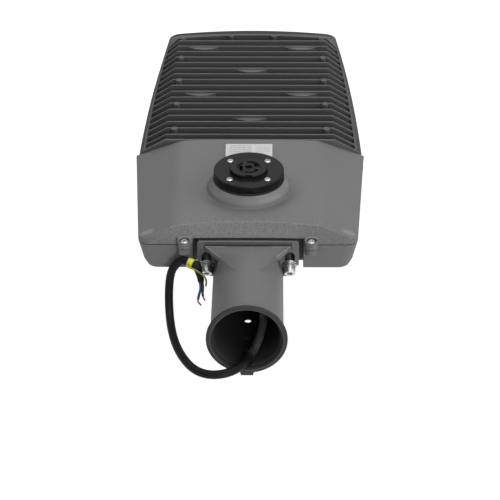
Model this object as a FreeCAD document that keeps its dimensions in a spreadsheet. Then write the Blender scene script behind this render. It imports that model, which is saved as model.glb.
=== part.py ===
"""LED street light head: finned lamp housing, driver compartment, photocell receptacle and pole clamp.

Millimetres. The origin is the centre of the pole bore at the tube's mouth, +Y runs from the mouth to
the tip of the head, +X is to the right when looking along +Y, and +Z is up.
"""
import FreeCAD, Part
import math
import os
import re

import Sketcher
from FreeCAD import Placement, Rotation, Vector

UP = Vector(0, 0, 1)
FORWARD = Vector(0, 1, 0)
ACROSS = Vector(1, 0, 0)
ORIGIN = Vector(0, 0, 0)

# Sizes that can each be set by itself
SIZES = {
    # Pole adaptor: tube, lip and clamp rail
    "bore_radius": 32,
    "tube_wall": 3,
    "tube_length": 112,
    "mouth_radius": 34.9,
    "lead_in": 5,
    "lip_height": 3.9,
    "lip_width": 4,
    "lip_round": 1.2,
    "stop_thick": 6,
    "rail_half": 8,
    "rail_foot_half": 5.8,
    "rail_drop": 6,
    "rail_length": 62,
    "groove_half": 4.2,
    "groove_depth": 1.2,
    "clamp_hole_radius": 3.4,
    "clamp_front_reach": 30,
    "clamp_rear_reach": 50,
    "drain_radius": 3.4,
    "drain_reach": 80,
    # Pole adaptor: flange and shelf
    "flange_half": 50.5,
    "flange_low": -1.3,
    "flange_high": 39.4,
    "flange_thick": 12,
    "flange_chamfer": 14,
    "flange_chamfer_side": 6.8,
    "flange_round": 2.5,
    "channel_low": 32,
    "channel_high": 38.4,
    "channel_depth": 1.5,
    "channel_half": 43,
    "shelf_top": 35.2,
    "shelf_thick": 4.5,
    "shelf_gap": 1.8,
    "shelf_rim": 1.6,
    "shelf_rim_height": 0.8,
    "shelf_field_half": 39.9,
    "shelf_field_front_half": 25.2,
    "neck_reach": 46,
    "neck_low": 11,
    "neck_low_half": 32.5,
    "neck_tip_half": 8,
    "neck_tip_height": 34,
    "shelf_wide_half": 45.2,
    "shelf_narrow_half": 28.4,
    "shelf_reach": 21.5,
    "slot_half": 5,
    "slot_low": 6.2,
    "slot_high": 27,
    "window_radius": 14,
    "window_height": 19.5,
    # Adaptor bolts and washers
    "bolt_spread": 41.4,
    "bolt_height": 11.2,
    "bolt_sink": 4.35,
    "bolt_tilt": 33,
    "bolt_spot_radius": 8.4,
    "bolt_end_gap": 1,
    "bolt_shank_radius": 3.9,
    "bolt_head_radius": 6.5,
    "bolt_head_height": 8,
    "bolt_socket_radius": 3.46,
    "bolt_socket_depth": 4.5,
    "bolt_reach": 24,
    "washer_radius": 8,
    "washer_thick": 1.6,
    "spring_washer_radius": 7,
    "spring_washer_thick": 2.1,
    "spring_washer_gap": 2,
    "bolt_clearance": 0.3,
    "thread_clearance": 0.1,
    # Plan of the driver compartment
    "rear_half": 108.5,
    "joint_half": 122,
    "compartment_length": 176.4,
    "rear_corner": 12,
    "recess_half": 55,
    "recess_depth": 19,
    "wall": 3,
    # Driver tray
    "tray_rim": 35.4,
    "tray_low": 5.5,
    "keel_height": 8,
    "belly_height": 14,
    "keel_inset": 12,
    "keel_rise_inset": 8,
    "belly_inset": 5,
    "rear_lean": 2,
    "rear_keel_inset": 6,
    "rear_belly_inset": 1.2,
    "pad_half": 49,
    "pad_low": 7,
    "bolt_boss_radius": 9,
    "bolt_boss_cap": 2.5,
    # Lid, its gasket and its lugs
    "gasket_thick": 0.8,
    "gasket_width": 2.4,
    "gasket_setback": 0.3,
    "crown_rise": 2.2,
    "crown_shoulder": 54.5,
    "crown_shoulder_half": 73.5,
    "crown_side_drop": 0.22,
    "crown_round": 35,
    "crown_top_share": 0.78,
    "slope_low": 38,
    "slope_high": 60,
    "slope_run": 14.7,
    "slope_arc": 374,
    "slope_clear": 75,
    "slope_wall": 3.6,
    "notch_high": 42,
    "lug_spread": 62.7,
    "lug_stand_off": 4,
    "lug_radius": 6.6,
    "lug_top": 43.5,
    "tray_lug_radius": 6,
    "tray_lug_side": 5.4,
    "tray_lug_foot": 6,
    "tray_lug_slant": 5,
    "cover_screw_radius": 2.45,
    "cover_screw_head_radius": 4.6,
    "cover_screw_head": 2.8,
    "cover_screw_sink": 3.1,
    "cover_screw_reach": 8,
    "counterbore_clearance": 0.7,
    "screw_clearance": 0.2,
    "head_bevel": 1.1,
    # Boss under the receptacle
    "boss_centre": 78,
    "boss_base_radius": 42.6,
    "boss_radius": 36,
    "boss_top": 66.5,
    "boss_wall": 3,
    "boss_hole_radius": 24,
    # Photocell receptacle
    "seal_thick": 2,
    "seal_radius": 36.2,
    "receptacle_radius": 35.7,
    "receptacle_neck": 34.5,
    "receptacle_step": 3.7,
    "receptacle_groove": 0.8,
    "receptacle_disc": 3.5,
    "receptacle_dish_radius": 27,
    "receptacle_dish": 1.2,
    "receptacle_dish_slope": 2,
    "receptacle_edge": 0.6,
    "hub_radius": 19,
    "hub_height": 3,
    "hub_edge": 0.5,
    "hub_slot_radius": 10.2,
    "hub_slot_width": 2.6,
    "hub_slot_depth": 9,
    "hub_centre_radius": 3.5,
    "hub_centre_sink": 2,
    "key_half": 4,
    "key_depth": 2.6,
    "body_below_radius": 21,
    "body_below": 12,
    "notch_half": 4.6,
    "notch_depth": 1.6,
    "contact_thick": 1.2,
    "contact_sink": 1.2,
    "contact_margin": 4,
    "plate_screw_x": 19.1,
    "plate_screw_y": 18.6,
    "plate_screw_radius": 1.9,
    "plate_screw_boss_radius": 4.2,
    "plate_screw_head_radius": 3.6,
    "plate_screw_head": 1.6,
    "plate_screw_reach": 13,
    # Rating plate, blank
    "plate_left": 25.4,
    "plate_right": 24,
    "plate_start": 139,
    "plate_end": 165,
    "plate_thick": 0.5,
    "plate_bed": 0.75,
    "plate_bury": 0.5,
    # Heat sink: plan
    "sink_length": 301.6,
    "sink_mid_reach": 136.6,
    "sink_mid_taper": 4.9,
    "sink_front_gap": 30,
    "sink_front_taper": 15.5,
    "sink_front_arc": 470,
    "sink_corner": 21.5,
    # Heat sink: section
    "sink_low": 14,
    "sink_wide": 20,
    "sink_rim": 41,
    "sink_shoulder": 42.6,
    "sink_crest": 55,
    "sink_floor": 30,
    "sink_low_inset": 4,
    "sink_rim_inset": 6.5,
    "sink_shoulder_inset": 9.5,
    "crest_inset_rear": 31.5,
    "crest_inset_front": 20,
    "crest_bow": 0.4,
    "crest_tip_gap": 47,
    "crest_corner": 6,
    # Heat sink: fins, front rib, pillars and pads
    "fin_pitch": 14.154,
    "fin_first_gap": 61.8,
    "fin_root": 3.2,
    "fin_crest": 2,
    "front_rib_top": 53,
    "front_rib_gap": 43,
    "pillar_radius": 3.5,
    "pillar_spread": 82,
    "pillar_offset": 2.4,
    "front_pillar_spread": 25.5,
    "pad_chord_half": 19,
    "pad_bulge": 7,
    "pad_spread": 57,
    "pad_drop": 1,
    "pad_drop_step": 0.15,
    "pillar_proud": 0.8,
    # Lamp side: pocket, boards, lenses
    "lamp_side": 34,
    "lamp_start": 24,
    "lamp_front_gap": 37.6,
    "lamp_ceiling": 22,
    "lamp_corner": 9,
    "board_corner": 3,
    "lens_corner": 7,
    "lens_inner_corner": 3.5,
    "board_gap": 6,
    "board_edge": 12,
    "board_thick": 1.6,
    "chip_size": 5,
    "chip_thick": 0.9,
    "chip_rows": 4,
    "chip_columns": 4,
    "chip_pitch_x": 40,
    "chip_pitch_y": 25,
    "lens_edge": 4,
    "lens_skirt": 6,
    "lens_plate": 2.5,
    "lens_radius": 12,
    "lens_tip_radius": 7,
    "lens_rise": 5,
    "lens_seal": 1.6,
    "lens_screw_radius": 1.7,
    "lens_screw_head_radius": 3.4,
    "lens_screw_head": 2,
    "lens_screw_reach": 12,
    "lens_screw_inset": 4.4,
    "passage_radius": 3,
    "passage_height": 18,
    # Screws that join the tray to the heat sink
    "join_spread": 92,
    "join_spread_inner": 34,
    "join_height": 26,
    "join_screw_radius": 2.4,
    "join_head_radius": 4.5,
    "join_head": 4,
    "join_reach": 14,
    # Inside the driver compartment
    "driver_length": 168,
    "driver_width": 62,
    "driver_height": 33,
    "driver_gap": 16,
    "driver_round": 3,
    "driver_tab": 9,
    "driver_tab_thick": 2,
    "driver_post": 4,
    "driver_post_radius": 4.5,
    "driver_screw_radius": 1.9,
    "driver_screw_head_radius": 3.6,
    "driver_screw_head": 2,
    "driver_screw_reach": 7,
    "driver_screw_inset": 12.4,
    "driver_ear_inset": 3.1,
    "block_x": 44,
    "block_length": 40,
    "block_width": 20,
    "block_height": 17,
    "block_stand_off": 30,
    "block_ways": 3,
    "block_screw_radius": 4,
    "block_screw_depth": 5.7,
    "block_wire_radius": 3.1,
    "block_wire_height": 5.7,
    "surge_x": 46,
    "surge_length": 42,
    "surge_width": 28,
    "surge_height": 24,
    # Cable gland and cable
    "gland_thread_radius": 8,
    "gland_flange_radius": 12,
    "gland_flange_thick": 7,
    "gland_nut_radius": 10.6,
    "gland_nut_length": 10,
    "gland_nose_radius": 7.4,
    "gland_lock_radius": 11.5,
    "gland_lock_thick": 4,
    "cable_radius": 4.2,
    "bundle_radius": 3,
    "tape_radius": 4.5,
    "tape_width": 6,
    "core_radius": 1.1,
    "strand_radius": 0.65,
}

# Places that follow from the sizes, as expressions on them
PLACES = {
    "tube_radius": "bore_radius + tube_wall",
    "lip_radius": "tube_radius + lip_height",
    "flange_back": "tube_length + flange_thick",
    "recess_back": "tube_length + recess_depth",
    "joint_y": "tube_length + compartment_length",
    "tip_y": "joint_y + sink_length",
    "tray_floor": "tray_low + wall",
    "lid_low": "tray_rim + gasket_thick",
    "boss_y": "tube_length + boss_centre",
    "crown_apex": "crown_shoulder + crown_rise",
    "crown_side": "lid_low - crown_side_drop",
    "seal_top": "boss_top + seal_thick",
    "disc_low": "seal_top + receptacle_step + receptacle_groove",
    "disc_top": "disc_low + receptacle_disc",
    "dish_floor": "disc_top - receptacle_dish",
    "hub_top": "disc_top + hub_height",
    "lug_y": "tube_length - lug_stand_off",
    "screw_seat": "lug_top - cover_screw_sink",
    "rib_rear_radius": "sink_front_arc - front_rib_gap",
    "lamp_half": "joint_half - lamp_side",
    "lamp_low_y": "joint_y + lamp_start",
    "lamp_high_y": "tip_y - lamp_front_gap",
    "board_low": "lamp_ceiling - board_thick",
    "driver_y": "joint_y - wall - driver_gap - driver_width",
    "driver_z": "tray_floor + driver_post",
    "gland_face": "recess_back - recess_depth + flange_thick",
    "gland_nose_y": "gland_face - gland_flange_thick - gland_nut_length",
}

doc = FreeCAD.newDocument("StreetLightHead")
sheet = doc.addObject("Spreadsheet::Sheet", "Sizes")
for row, (name, number) in enumerate(SIZES.items(), start=1):
    sheet.set(f"A{row}", name)
    sheet.set(f"B{row}", str(number))
    sheet.setAlias(f"B{row}", name)
doc.recompute()


def full(text):
    """The expression with each size and place written out as references to the sheet."""
    def reference(word):
        name = word.group(0)
        if name in PLACES:
            return f"({full(PLACES[name])})"
        return f"Sizes.{name}" if name in SIZES else name
    return re.sub(r"[a-z_]+", reference, str(text))


def num(text):
    """The expression's value in millimetres or degrees."""
    return float(sheet.evalExpression(full(text)))


def bind(item, **expressions):
    """Tie properties of a document object to the sheet."""
    for prop, text in expressions.items():
        item.setExpression(prop, full(text))


def put(item, x=0, y=0, z=0):
    """Tie an object's place to the sheet."""
    for axis, text in zip("xyz", (x, y, z)):
        item.setExpression(f"Placement.Base.{axis}", full(text))
    return item


# Primitives and booleans bound to the sheet
def box(name, length, width, height, x, y, z):
    item = doc.addObject("Part::Box", name)
    bind(item, Length=length, Width=width, Height=height)
    return put(item, x, y, z)


def rod(name, radius, height, x, y, z, axis=UP):
    """Cylinder from its base centre along an axis."""
    item = doc.addObject("Part::Cylinder", name)
    bind(item, Radius=radius, Height=height)
    item.Placement.Rotation = Rotation(UP, axis)
    return put(item, x, y, z)


def cone(name, low_radius, high_radius, height, x, y, z, axis=UP):
    item = doc.addObject("Part::Cone", name)
    bind(item, Radius1=low_radius, Radius2=high_radius, Height=height)
    item.Placement.Rotation = Rotation(UP, axis)
    return put(item, x, y, z)


def hexagon(name, radius, height, x, y, z, axis=UP):
    """Six-sided prism from its base centre along an axis."""
    item = doc.addObject("Part::Prism", name)
    item.Polygon = 6
    bind(item, Circumradius=radius, Height=height)
    item.Placement.Rotation = Rotation(UP, axis)
    return put(item, x, y, z)


def fuse(name, items):
    item = doc.addObject("Part::MultiFuse", name)
    item.Shapes = items
    item.Refine = True
    return item


def cut(name, base, tools):
    item = doc.addObject("Part::Cut", name)
    item.Base = base
    item.Tool = tools[0] if len(tools) == 1 else fuse(f"{name}_tools", tools)
    return item


def group(name, items):
    """Like pieces that stay separate solids in one node."""
    item = doc.addObject("Part::Compound", name)
    item.Links = items
    return item


def shaped(name, shape):
    """A sub-part whose form is made with Part's own functions."""
    item = doc.addObject("Part::Feature", name)
    item.Shape = shape
    item.Placement = Placement()
    return item


# PartDesign helpers
def plane(body, role):
    return next(item for item in body.Origin.OriginFeatures if item.Role == role)


def sketch(body, name, role, offset, polygons=(), circles=()):
    """Sketch of closed polygons and circles whose coordinates are all expressions."""
    item = body.newObject("Sketcher::SketchObject", name)
    item.AttachmentSupport = [(plane(body, role), "")]
    item.MapMode = "FlatFace"
    item.setExpression("AttachmentOffset.Base.z", full(offset))

    def fix(edge, point, x, y):
        for kind, text in (("DistanceX", x), ("DistanceY", y)):
            index = item.addConstraint(Sketcher.Constraint(kind, -1, 1, edge, point, num(text)))
            item.setExpression(f"Constraints[{index}]", full(text))

    for corners in polygons:
        first = item.GeometryCount
        points = [Vector(num(x), num(y), 0) for x, y in corners]
        count = len(points)
        for index in range(count):
            item.addGeometry(Part.LineSegment(points[index], points[(index + 1) % count]), False)
        for index in range(count):
            after = first + (index + 1) % count
            item.addConstraint(Sketcher.Constraint("Coincident", first + index, 2, after, 1))
        for index, (x, y) in enumerate(corners):
            fix(first + index, 1, x, y)
    for x, y, radius in circles:
        edge = item.addGeometry(Part.Circle(Vector(num(x), num(y), 0), UP, num(radius)), False)
        fix(edge, 3, x, y)
        index = item.addConstraint(Sketcher.Constraint("Radius", edge, num(radius)))
        item.setExpression(f"Constraints[{index}]", full(radius))
    return item


def sweep_feature(body, kind, name, profile, length, reverse=False):
    """Pad or Pocket of a sketch."""
    item = body.newObject(f"PartDesign::{kind}", name)
    item.Profile = profile
    item.Reversed = reverse
    item.setExpression("Length", full(length))
    return item


def turned(body, kind, name, profile, axis="V_Axis"):
    """Revolution or Groove of a sketch round one of its axes."""
    item = body.newObject(f"PartDesign::{kind}", name)
    item.Profile = profile
    item.ReferenceAxis = (profile, [axis])
    item.Angle = 360
    return item


def rounded(body, name, base, radius, chosen):
    """Fillet of the edges of a feature that a test picks."""
    doc.recompute()
    edges = [f"Edge{i}" for i, edge in enumerate(base.Shape.Edges, start=1) if chosen(edge)]
    item = body.newObject("PartDesign::Fillet", name)
    item.Base = (base, edges)
    item.setExpression("Radius", full(radius))
    return item


def runs_along(direction):
    """Test for a straight edge along a direction."""
    def test(edge):
        return edge.Curve.TypeId == "Part::GeomLine" and abs(edge.Curve.Direction.dot(direction)) > 0.999
    return test


# Plan curves
def corner_arc(before, corner, after, radius):
    """Start, middle and end of the arc that rounds a corner."""
    back = (before - corner).normalize()
    ahead = (after - corner).normalize()
    half = back.getAngle(ahead) / 2
    inward = (back + ahead).normalize()
    middle = corner + inward * (radius / math.sin(half) - radius)
    reach = radius / math.tan(half)
    return corner + back * reach, middle, corner + ahead * reach


def rounded_wire(points, radii):
    """Closed wire of straight edges with a radius, or none, at each corner."""
    count = len(points)
    arcs = []
    for index, radius in enumerate(radii):
        corner = points[index]
        if radius:
            arcs.append(corner_arc(points[index - 1], corner, points[(index + 1) % count], radius))
        else:
            arcs.append((corner, None, corner))
    edges = []
    for index, (start, middle, end) in enumerate(arcs):
        if middle:
            edges.append(Part.Arc(start, middle, end).toShape())
        edges.append(Part.LineSegment(end, arcs[(index + 1) % count][0]).toShape())
    return Part.Wire(edges)


def rectangle(half, low_y, high_y, z, radius=0):
    points = [Vector(-half, low_y, z), Vector(half, low_y, z), Vector(half, high_y, z),
              Vector(-half, high_y, z)]
    return rounded_wire(points, [radius] * 4)


def prism(wire, direction):
    return Part.Face(wire).extrude(direction)


def block(half, low_y, high_y, low_z, high_z):
    """Upright block centred across X."""
    return prism(rectangle(half, low_y, high_y, low_z), UP * (high_z - low_z))


def loft(wires):
    return Part.makeLoft(wires, True, True)


def lug_wire(x, y, radius, wall_y, z):
    """Plan of a lug: a half disc at (x, y) carried back to a wall."""
    left, right = Vector(x - radius, y, z), Vector(x + radius, y, z)
    back_left, back_right = Vector(x - radius, wall_y, z), Vector(x + radius, wall_y, z)
    return Part.Wire([
        Part.LineSegment(back_left, left).toShape(),
        Part.Arc(left, Vector(x, y - radius, z), right).toShape(),
        Part.LineSegment(right, back_right).toShape(),
        Part.LineSegment(back_right, back_left).toShape(),
    ])


# Plan of the driver compartment: a straight rear edge, two rounded corners and sides that spread
def compartment_wire(z, side=0, rear=0, front=0):
    start, end = num("tube_length") + rear, num("joint_y") - front
    spread = (num("joint_half") - num("rear_half")) / num("compartment_length")

    def half_at(y):
        return num("rear_half") + spread * (y - num("tube_length")) - side
    corners = [Vector(-half_at(start), start, z), Vector(half_at(start), start, z),
               Vector(half_at(end), end, z), Vector(-half_at(end), end, z)]
    return rounded_wire(corners, [num("rear_corner")] * 2 + [0, 0])


def tray_block(grow, floor, top):
    """Solid of the tray's outer form, moved inward by grow, between two heights."""
    low, keel, belly, rim = num("tray_low"), num("keel_height"), num("belly_height"), num("tray_rim")
    lean = num("rear_lean")
    stations = [(low, num("keel_inset"), num("rear_keel_inset")), (keel, num("keel_rise_inset"), lean),
                (belly, num("belly_inset"), num("rear_belly_inset")), (rim, 0, 0)]
    if floor > low:
        stations = [(floor, num("keel_inset"), lean)] + stations[2:]
    wires = [compartment_wire(z, side + grow, rear + grow, grow) for z, side, rear in stations]
    wires.append(compartment_wire(top, grow, grow, grow))
    return loft(wires[:-1]).fuse(loft(wires[-2:])) if top > rim else loft(wires[:-1])


def bolt_seats():
    """Centre of each adaptor bolt's seat, and the bolt's axis, which rises toward the head."""
    lean = math.radians(num("bolt_tilt"))
    axis = Vector(0, math.cos(lean), math.sin(lean))
    y, z = num("tube_length + bolt_sink"), num("bolt_height")
    return [(Vector(side * num("bolt_spread"), y, z), axis) for side in (-1, 1)]


def driver_tray():
    wall, joint, rim = num("wall"), num("joint_y"), num("tray_rim")
    start, back, low = num("tube_length"), num("recess_back"), num("tray_low")
    recess_half, floor = num("recess_half"), num("tray_floor")
    shell = tray_block(0, low, rim)
    hollow = tray_block(wall, floor, rim + wall)
    hollow = hollow.cut(block(recess_half + wall, start - wall, back + wall, low, rim + 2 * wall))
    shell = shell.cut(hollow)
    shell = shell.cut(block(recess_half, start - wall, back, low - wall, rim + wall))

    # Raised pad that the flange seats on, and the bosses behind its tapped holes
    pad = block(num("pad_half"), num("flange_back"), back + wall / 2, num("pad_low"), rim)
    shell = shell.fuse(pad)
    hole_reach = num("bolt_reach + bolt_end_gap")
    for seat, axis in bolt_seats():
        boss = Part.makeCylinder(num("bolt_boss_radius"), hole_reach + num("bolt_boss_cap"), seat, axis)
        shell = shell.fuse(boss.common(block(2 * num("rear_half"), num("flange_back"), joint, low, rim)))
    for seat, axis in bolt_seats():
        shell = shell.cut(Part.makeCylinder(num("bolt_shank_radius + thread_clearance"), hole_reach, seat,
                                            axis))
    gland_seat = Vector(0, start, num("window_height"))
    shell = shell.cut(Part.makeCylinder(num("gland_thread_radius + thread_clearance"), recess_half,
                                        gland_seat, FORWARD))

    # Lugs that take the lid screws, each with a foot that slants back into the rear wall
    radius, lug_y, lug_side = num("tray_lug_radius"), num("lug_y"), num("tray_lug_side")
    inner = start + num("rear_lean") + wall
    for side in (-1, 1):
        x = side * num("lug_spread")
        foot = rim - lug_side - num("tray_lug_foot")
        lug = prism(lug_wire(x, lug_y, radius, inner, foot), UP * (rim - foot))
        left, nose, under = x - 2 * radius, lug_y - radius - 1, foot - num("tray_lug_slant")
        slant = [Vector(left, nose, rim - lug_side), Vector(left, inner, foot), Vector(left, inner, under),
                 Vector(left, nose, under)]
        lug = lug.cut(prism(rounded_wire(slant, [0] * 4), ACROSS * (4 * radius)))
        shell = shell.fuse(lug)
        hole_low = num("screw_seat - cover_screw_reach - 1")
        hole = Part.makeCylinder(num("cover_screw_radius + thread_clearance"), rim - hole_low + 1,
                                 Vector(x, lug_y, hole_low))
        shell = shell.cut(hole)

    # Posts under the driver and the holes in the front wall
    for x, y in driver_post_places():
        post = Part.makeCylinder(num("driver_post_radius"), num("driver_post") + wall / 2,
                                 Vector(x, y, floor - wall / 2))
        shell = shell.fuse(post)
        hole = Part.makeCylinder(num("driver_screw_radius + thread_clearance"), num("driver_screw_reach"),
                                 Vector(x, y, num("driver_z") - num("driver_screw_reach") + 0.5))
        shell = shell.cut(hole)
    for x in join_places():
        seat = Vector(x, joint - 2 * wall, num("join_height"))
        shell = shell.cut(Part.makeCylinder(num("join_screw_radius + screw_clearance"), 3 * wall, seat,
                                            FORWARD))
    seat = Vector(0, joint - 2 * wall, num("passage_height"))
    shell = shell.cut(Part.makeCylinder(num("passage_radius"), 3 * wall, seat, FORWARD))
    return shaped("driver_tray", shell.removeSplitter())


def crown_wire(low, y):
    """Section of the lid: level sides, sloping shoulders and a slightly crowned top."""
    shoulder, shoulder_half = num("crown_shoulder"), num("crown_shoulder_half")
    slope = (shoulder - num("crown_side")) / (num("joint_half") - shoulder_half)
    half = num("joint_half + wall")
    side = shoulder - (half - shoulder_half) * slope
    points = [Vector(-half, y, low), Vector(half, y, low), Vector(half, y, side),
              Vector(shoulder_half, y, shoulder),
              Vector(0, y, num("crown_apex")), Vector(-shoulder_half, y, shoulder), Vector(-half, y, side)]
    top_round = num("crown_top_share") * shoulder_half ** 2 / num("crown_rise")
    radii = [0, 0, 0, num("crown_round"), top_round, num("crown_round"), 0]
    return rounded_wire(points, radii)


def rear_slope(shift):
    """Block behind the lid's rear slope: straight at its foot and an arc at its top."""
    start, wide = num("tube_length") + shift, 1.5 * num("rear_half")
    low, high, run, radius = num("slope_low"), num("slope_high"), num("slope_run"), num("slope_arc")
    edge = start + run - radius + math.sqrt(radius ** 2 - wide ** 2)
    rear = start - num("slope_clear")
    ends = [Vector(-wide, start, low), Vector(wide, start, low), Vector(wide, rear, low),
            Vector(-wide, rear, low)]
    foot = rounded_wire(ends, [0] * 4)
    left, right = Vector(-wide, edge, high), Vector(wide, edge, high)
    back_right, back_left = Vector(wide, rear, high), Vector(-wide, rear, high)
    top = Part.Wire([Part.Arc(left, Vector(0, start + run, high), right).toShape(),
                     Part.LineSegment(right, back_right).toShape(),
                     Part.LineSegment(back_right, back_left).toShape(),
                     Part.LineSegment(back_left, left).toShape()])
    return loft([foot, top])


def lid_block(inward, slope_inward, low):
    """Solid of the lid's outer form, moved inward by a wall, down to a height."""
    plan = prism(compartment_wire(low, inward, inward, inward), UP * (num("slope_high") - low))
    start, joint = num("tube_length"), num("joint_y")
    section = Part.Face(crown_wire(low - 4 * num("wall"), start - 1))
    if inward:
        section = section.makeOffset2D(-inward)
    crown = section.extrude(FORWARD * (joint - start + 2))
    return plan.common(crown).cut(rear_slope(slope_inward))


def driver_cover():
    wall, low, start = num("wall"), num("lid_low"), num("tube_length")
    notch, back, half = num("notch_high"), num("recess_back"), num("recess_half")
    shell = lid_block(0, 0, low)
    hollow = lid_block(wall, num("slope_wall"), low - wall)
    hollow = hollow.cut(block(half + wall, start - wall, back + wall, low - 2 * wall, notch + wall))
    shell = shell.cut(hollow)
    shell = shell.cut(block(half, start - wall, back, low - wall, notch))

    # Round boss that lifts the receptacle clear of the crown
    centre = Vector(0, num("boss_y"), num("crown_shoulder") - wall / 2)
    rise = num("boss_top") - centre.z
    grow = (num("boss_base_radius") - num("boss_radius")) / (num("boss_top") - num("crown_apex"))
    base = num("boss_radius") + grow * rise
    boss_wall = num("boss_wall")
    shell = shell.fuse(Part.makeCone(base, num("boss_radius"), rise, centre))
    inner_low = centre - UP * wall
    inner_rise = rise + wall - boss_wall
    inner_top = num("boss_radius") - boss_wall + grow * boss_wall
    shell = shell.cut(Part.makeCone(inner_top + grow * inner_rise, inner_top, inner_rise, inner_low))
    shell = shell.cut(Part.makeCylinder(num("boss_hole_radius"), 2 * rise, centre))
    for x, y in plate_screw_places():
        shell = shell.fuse(Part.makeCylinder(num("plate_screw_boss_radius"), num("plate_screw_reach") / 2,
                                             Vector(x, y, num("boss_top") - num("plate_screw_reach") / 2)))
        hole = Part.makeCylinder(num("plate_screw_radius + thread_clearance"), 2 * num("plate_screw_reach"),
                                 Vector(x, y, num("boss_top") - num("plate_screw_reach")))
        shell = shell.cut(hole)

    # Lugs over the tray's lugs
    radius, lug_y, top = num("lug_radius"), num("lug_y"), num("lug_top")
    for side in (-1, 1):
        x = side * num("lug_spread")
        reach = start + num("slope_run") * (top - low) / (num("slope_high") - low) - 1
        shell = shell.fuse(prism(lug_wire(x, lug_y, radius, reach, low), UP * (top - low)))
        seat = Vector(x, lug_y, num("screw_seat"))
        sink = Part.makeCylinder(num("cover_screw_head_radius + counterbore_clearance"), top, seat)
        hole = Part.makeCylinder(num("cover_screw_radius + screw_clearance"), top,
                                 Vector(x, lug_y, low - 1))
        shell = shell.cut(sink).cut(hole)
    return shaped("driver_cover", shell.removeSplitter())


def cover_gasket():
    """Flat ring between the tray's rim and the lid, round the recess as the walls are."""
    low, thick, back = num("tray_rim"), num("gasket_thick"), num("gasket_setback")
    inner, start, recess_back = num("gasket_setback + gasket_width"), num("tube_length"), num("recess_back")
    half = num("recess_half")
    outer_plan = prism(compartment_wire(low, back, back, back), UP * thick)
    outer_plan = outer_plan.cut(block(half + back, start - 1, recess_back + back, low - 1, low + 2 * thick))
    inner_plan = prism(compartment_wire(low, inner, inner, inner), UP * thick)
    inner_plan = inner_plan.cut(block(half + inner, start - 1, recess_back + inner, low - 1,
                                      low + 2 * thick))
    return shaped("cover_gasket", outer_plan.cut(inner_plan).removeSplitter())


# Places of the screws
def driver_post_places():
    x, inset = (num("driver_length") + num("driver_tab")) / 2, num("driver_screw_inset")
    rows = (num("driver_y") + inset, num("driver_y + driver_width") - inset)
    return [(side * x, y) for side in (-1, 1) for y in rows]


def join_places():
    return [side * x for x in (num("join_spread"), num("join_spread_inner")) for side in (-1, 1)]


def plate_screw_places():
    x, y, centre = num("plate_screw_x"), num("plate_screw_y"), num("boss_y")
    return [(side * x, centre + end * y) for side in (-1, 1) for end in (-1, 1)]


def lens_screw_places():
    inset = num("lens_screw_inset")
    x = num("lamp_half") - num("lens_edge") - inset
    low, high = num("lamp_low_y + lens_edge"), num("lamp_high_y - lens_edge")
    ys = (low + inset, (low + high) / 2, high - inset)
    return [(side * x, y) for side in (-1, 1) for y in ys]


def screw(x, y, seat, axis, shank, reach, head_radius, head):
    """Pan head screw with its seat at a point and its shank along a direction."""
    point = Vector(x, y, seat)
    shape = Part.makeCylinder(shank, reach, point, axis)
    flank = head - num("head_bevel")
    shape = shape.fuse(Part.makeCylinder(head_radius, flank, point - axis * flank, axis))
    crown = Part.makeCone(head_radius - num("head_bevel"), head_radius, num("head_bevel"),
                          point - axis * head, axis)
    return shape.fuse(crown).removeSplitter()


def screw_set(name, places, direction, shank, reach, head_radius, head):
    """Identical screws in one node; each place is x, y and the height or depth of its seat."""
    parts = [screw(x, y, z, direction, shank, reach, head_radius, head) for x, y, z in places]
    return shaped(name, Part.makeCompound(parts))


def screws():
    lid = [(side * num("lug_spread"), num("lug_y"), num("screw_seat")) for side in (-1, 1)]
    plate = [(x, y, num("dish_floor")) for x, y in plate_screw_places()]
    driver = [(x, y, num("driver_z + driver_tab_thick")) for x, y in driver_post_places()]
    lens = [(x, y, num("lamp_ceiling - lens_seal - lens_skirt")) for x, y in lens_screw_places()]
    join = [(x, num("joint_y - wall"), num("join_height")) for x in join_places()]
    return [
        screw_set("cover_screws", lid, -UP, num("cover_screw_radius"), num("cover_screw_reach"),
                  num("cover_screw_head_radius"), num("cover_screw_head")),
        screw_set("receptacle_screws", plate, -UP, num("plate_screw_radius"), num("plate_screw_reach"),
                  num("plate_screw_head_radius"), num("plate_screw_head")),
        screw_set("driver_screws", driver, -UP, num("driver_screw_radius"), num("driver_screw_reach - 1"),
                  num("driver_screw_head_radius"), num("driver_screw_head")),
        screw_set("lens_screws", lens, UP, num("lens_screw_radius"), num("lens_screw_reach"),
                  num("lens_screw_head_radius"), num("lens_screw_head")),
        screw_set("joining_screws", join, FORWARD, num("join_screw_radius"), num("join_reach + wall"),
                  num("join_head_radius"), num("join_head")),
    ]


# Heat sink
def circle_through(first, second, third):
    circle = Part.Circle(first, second, third)
    return circle.Center, circle.Radius


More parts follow.
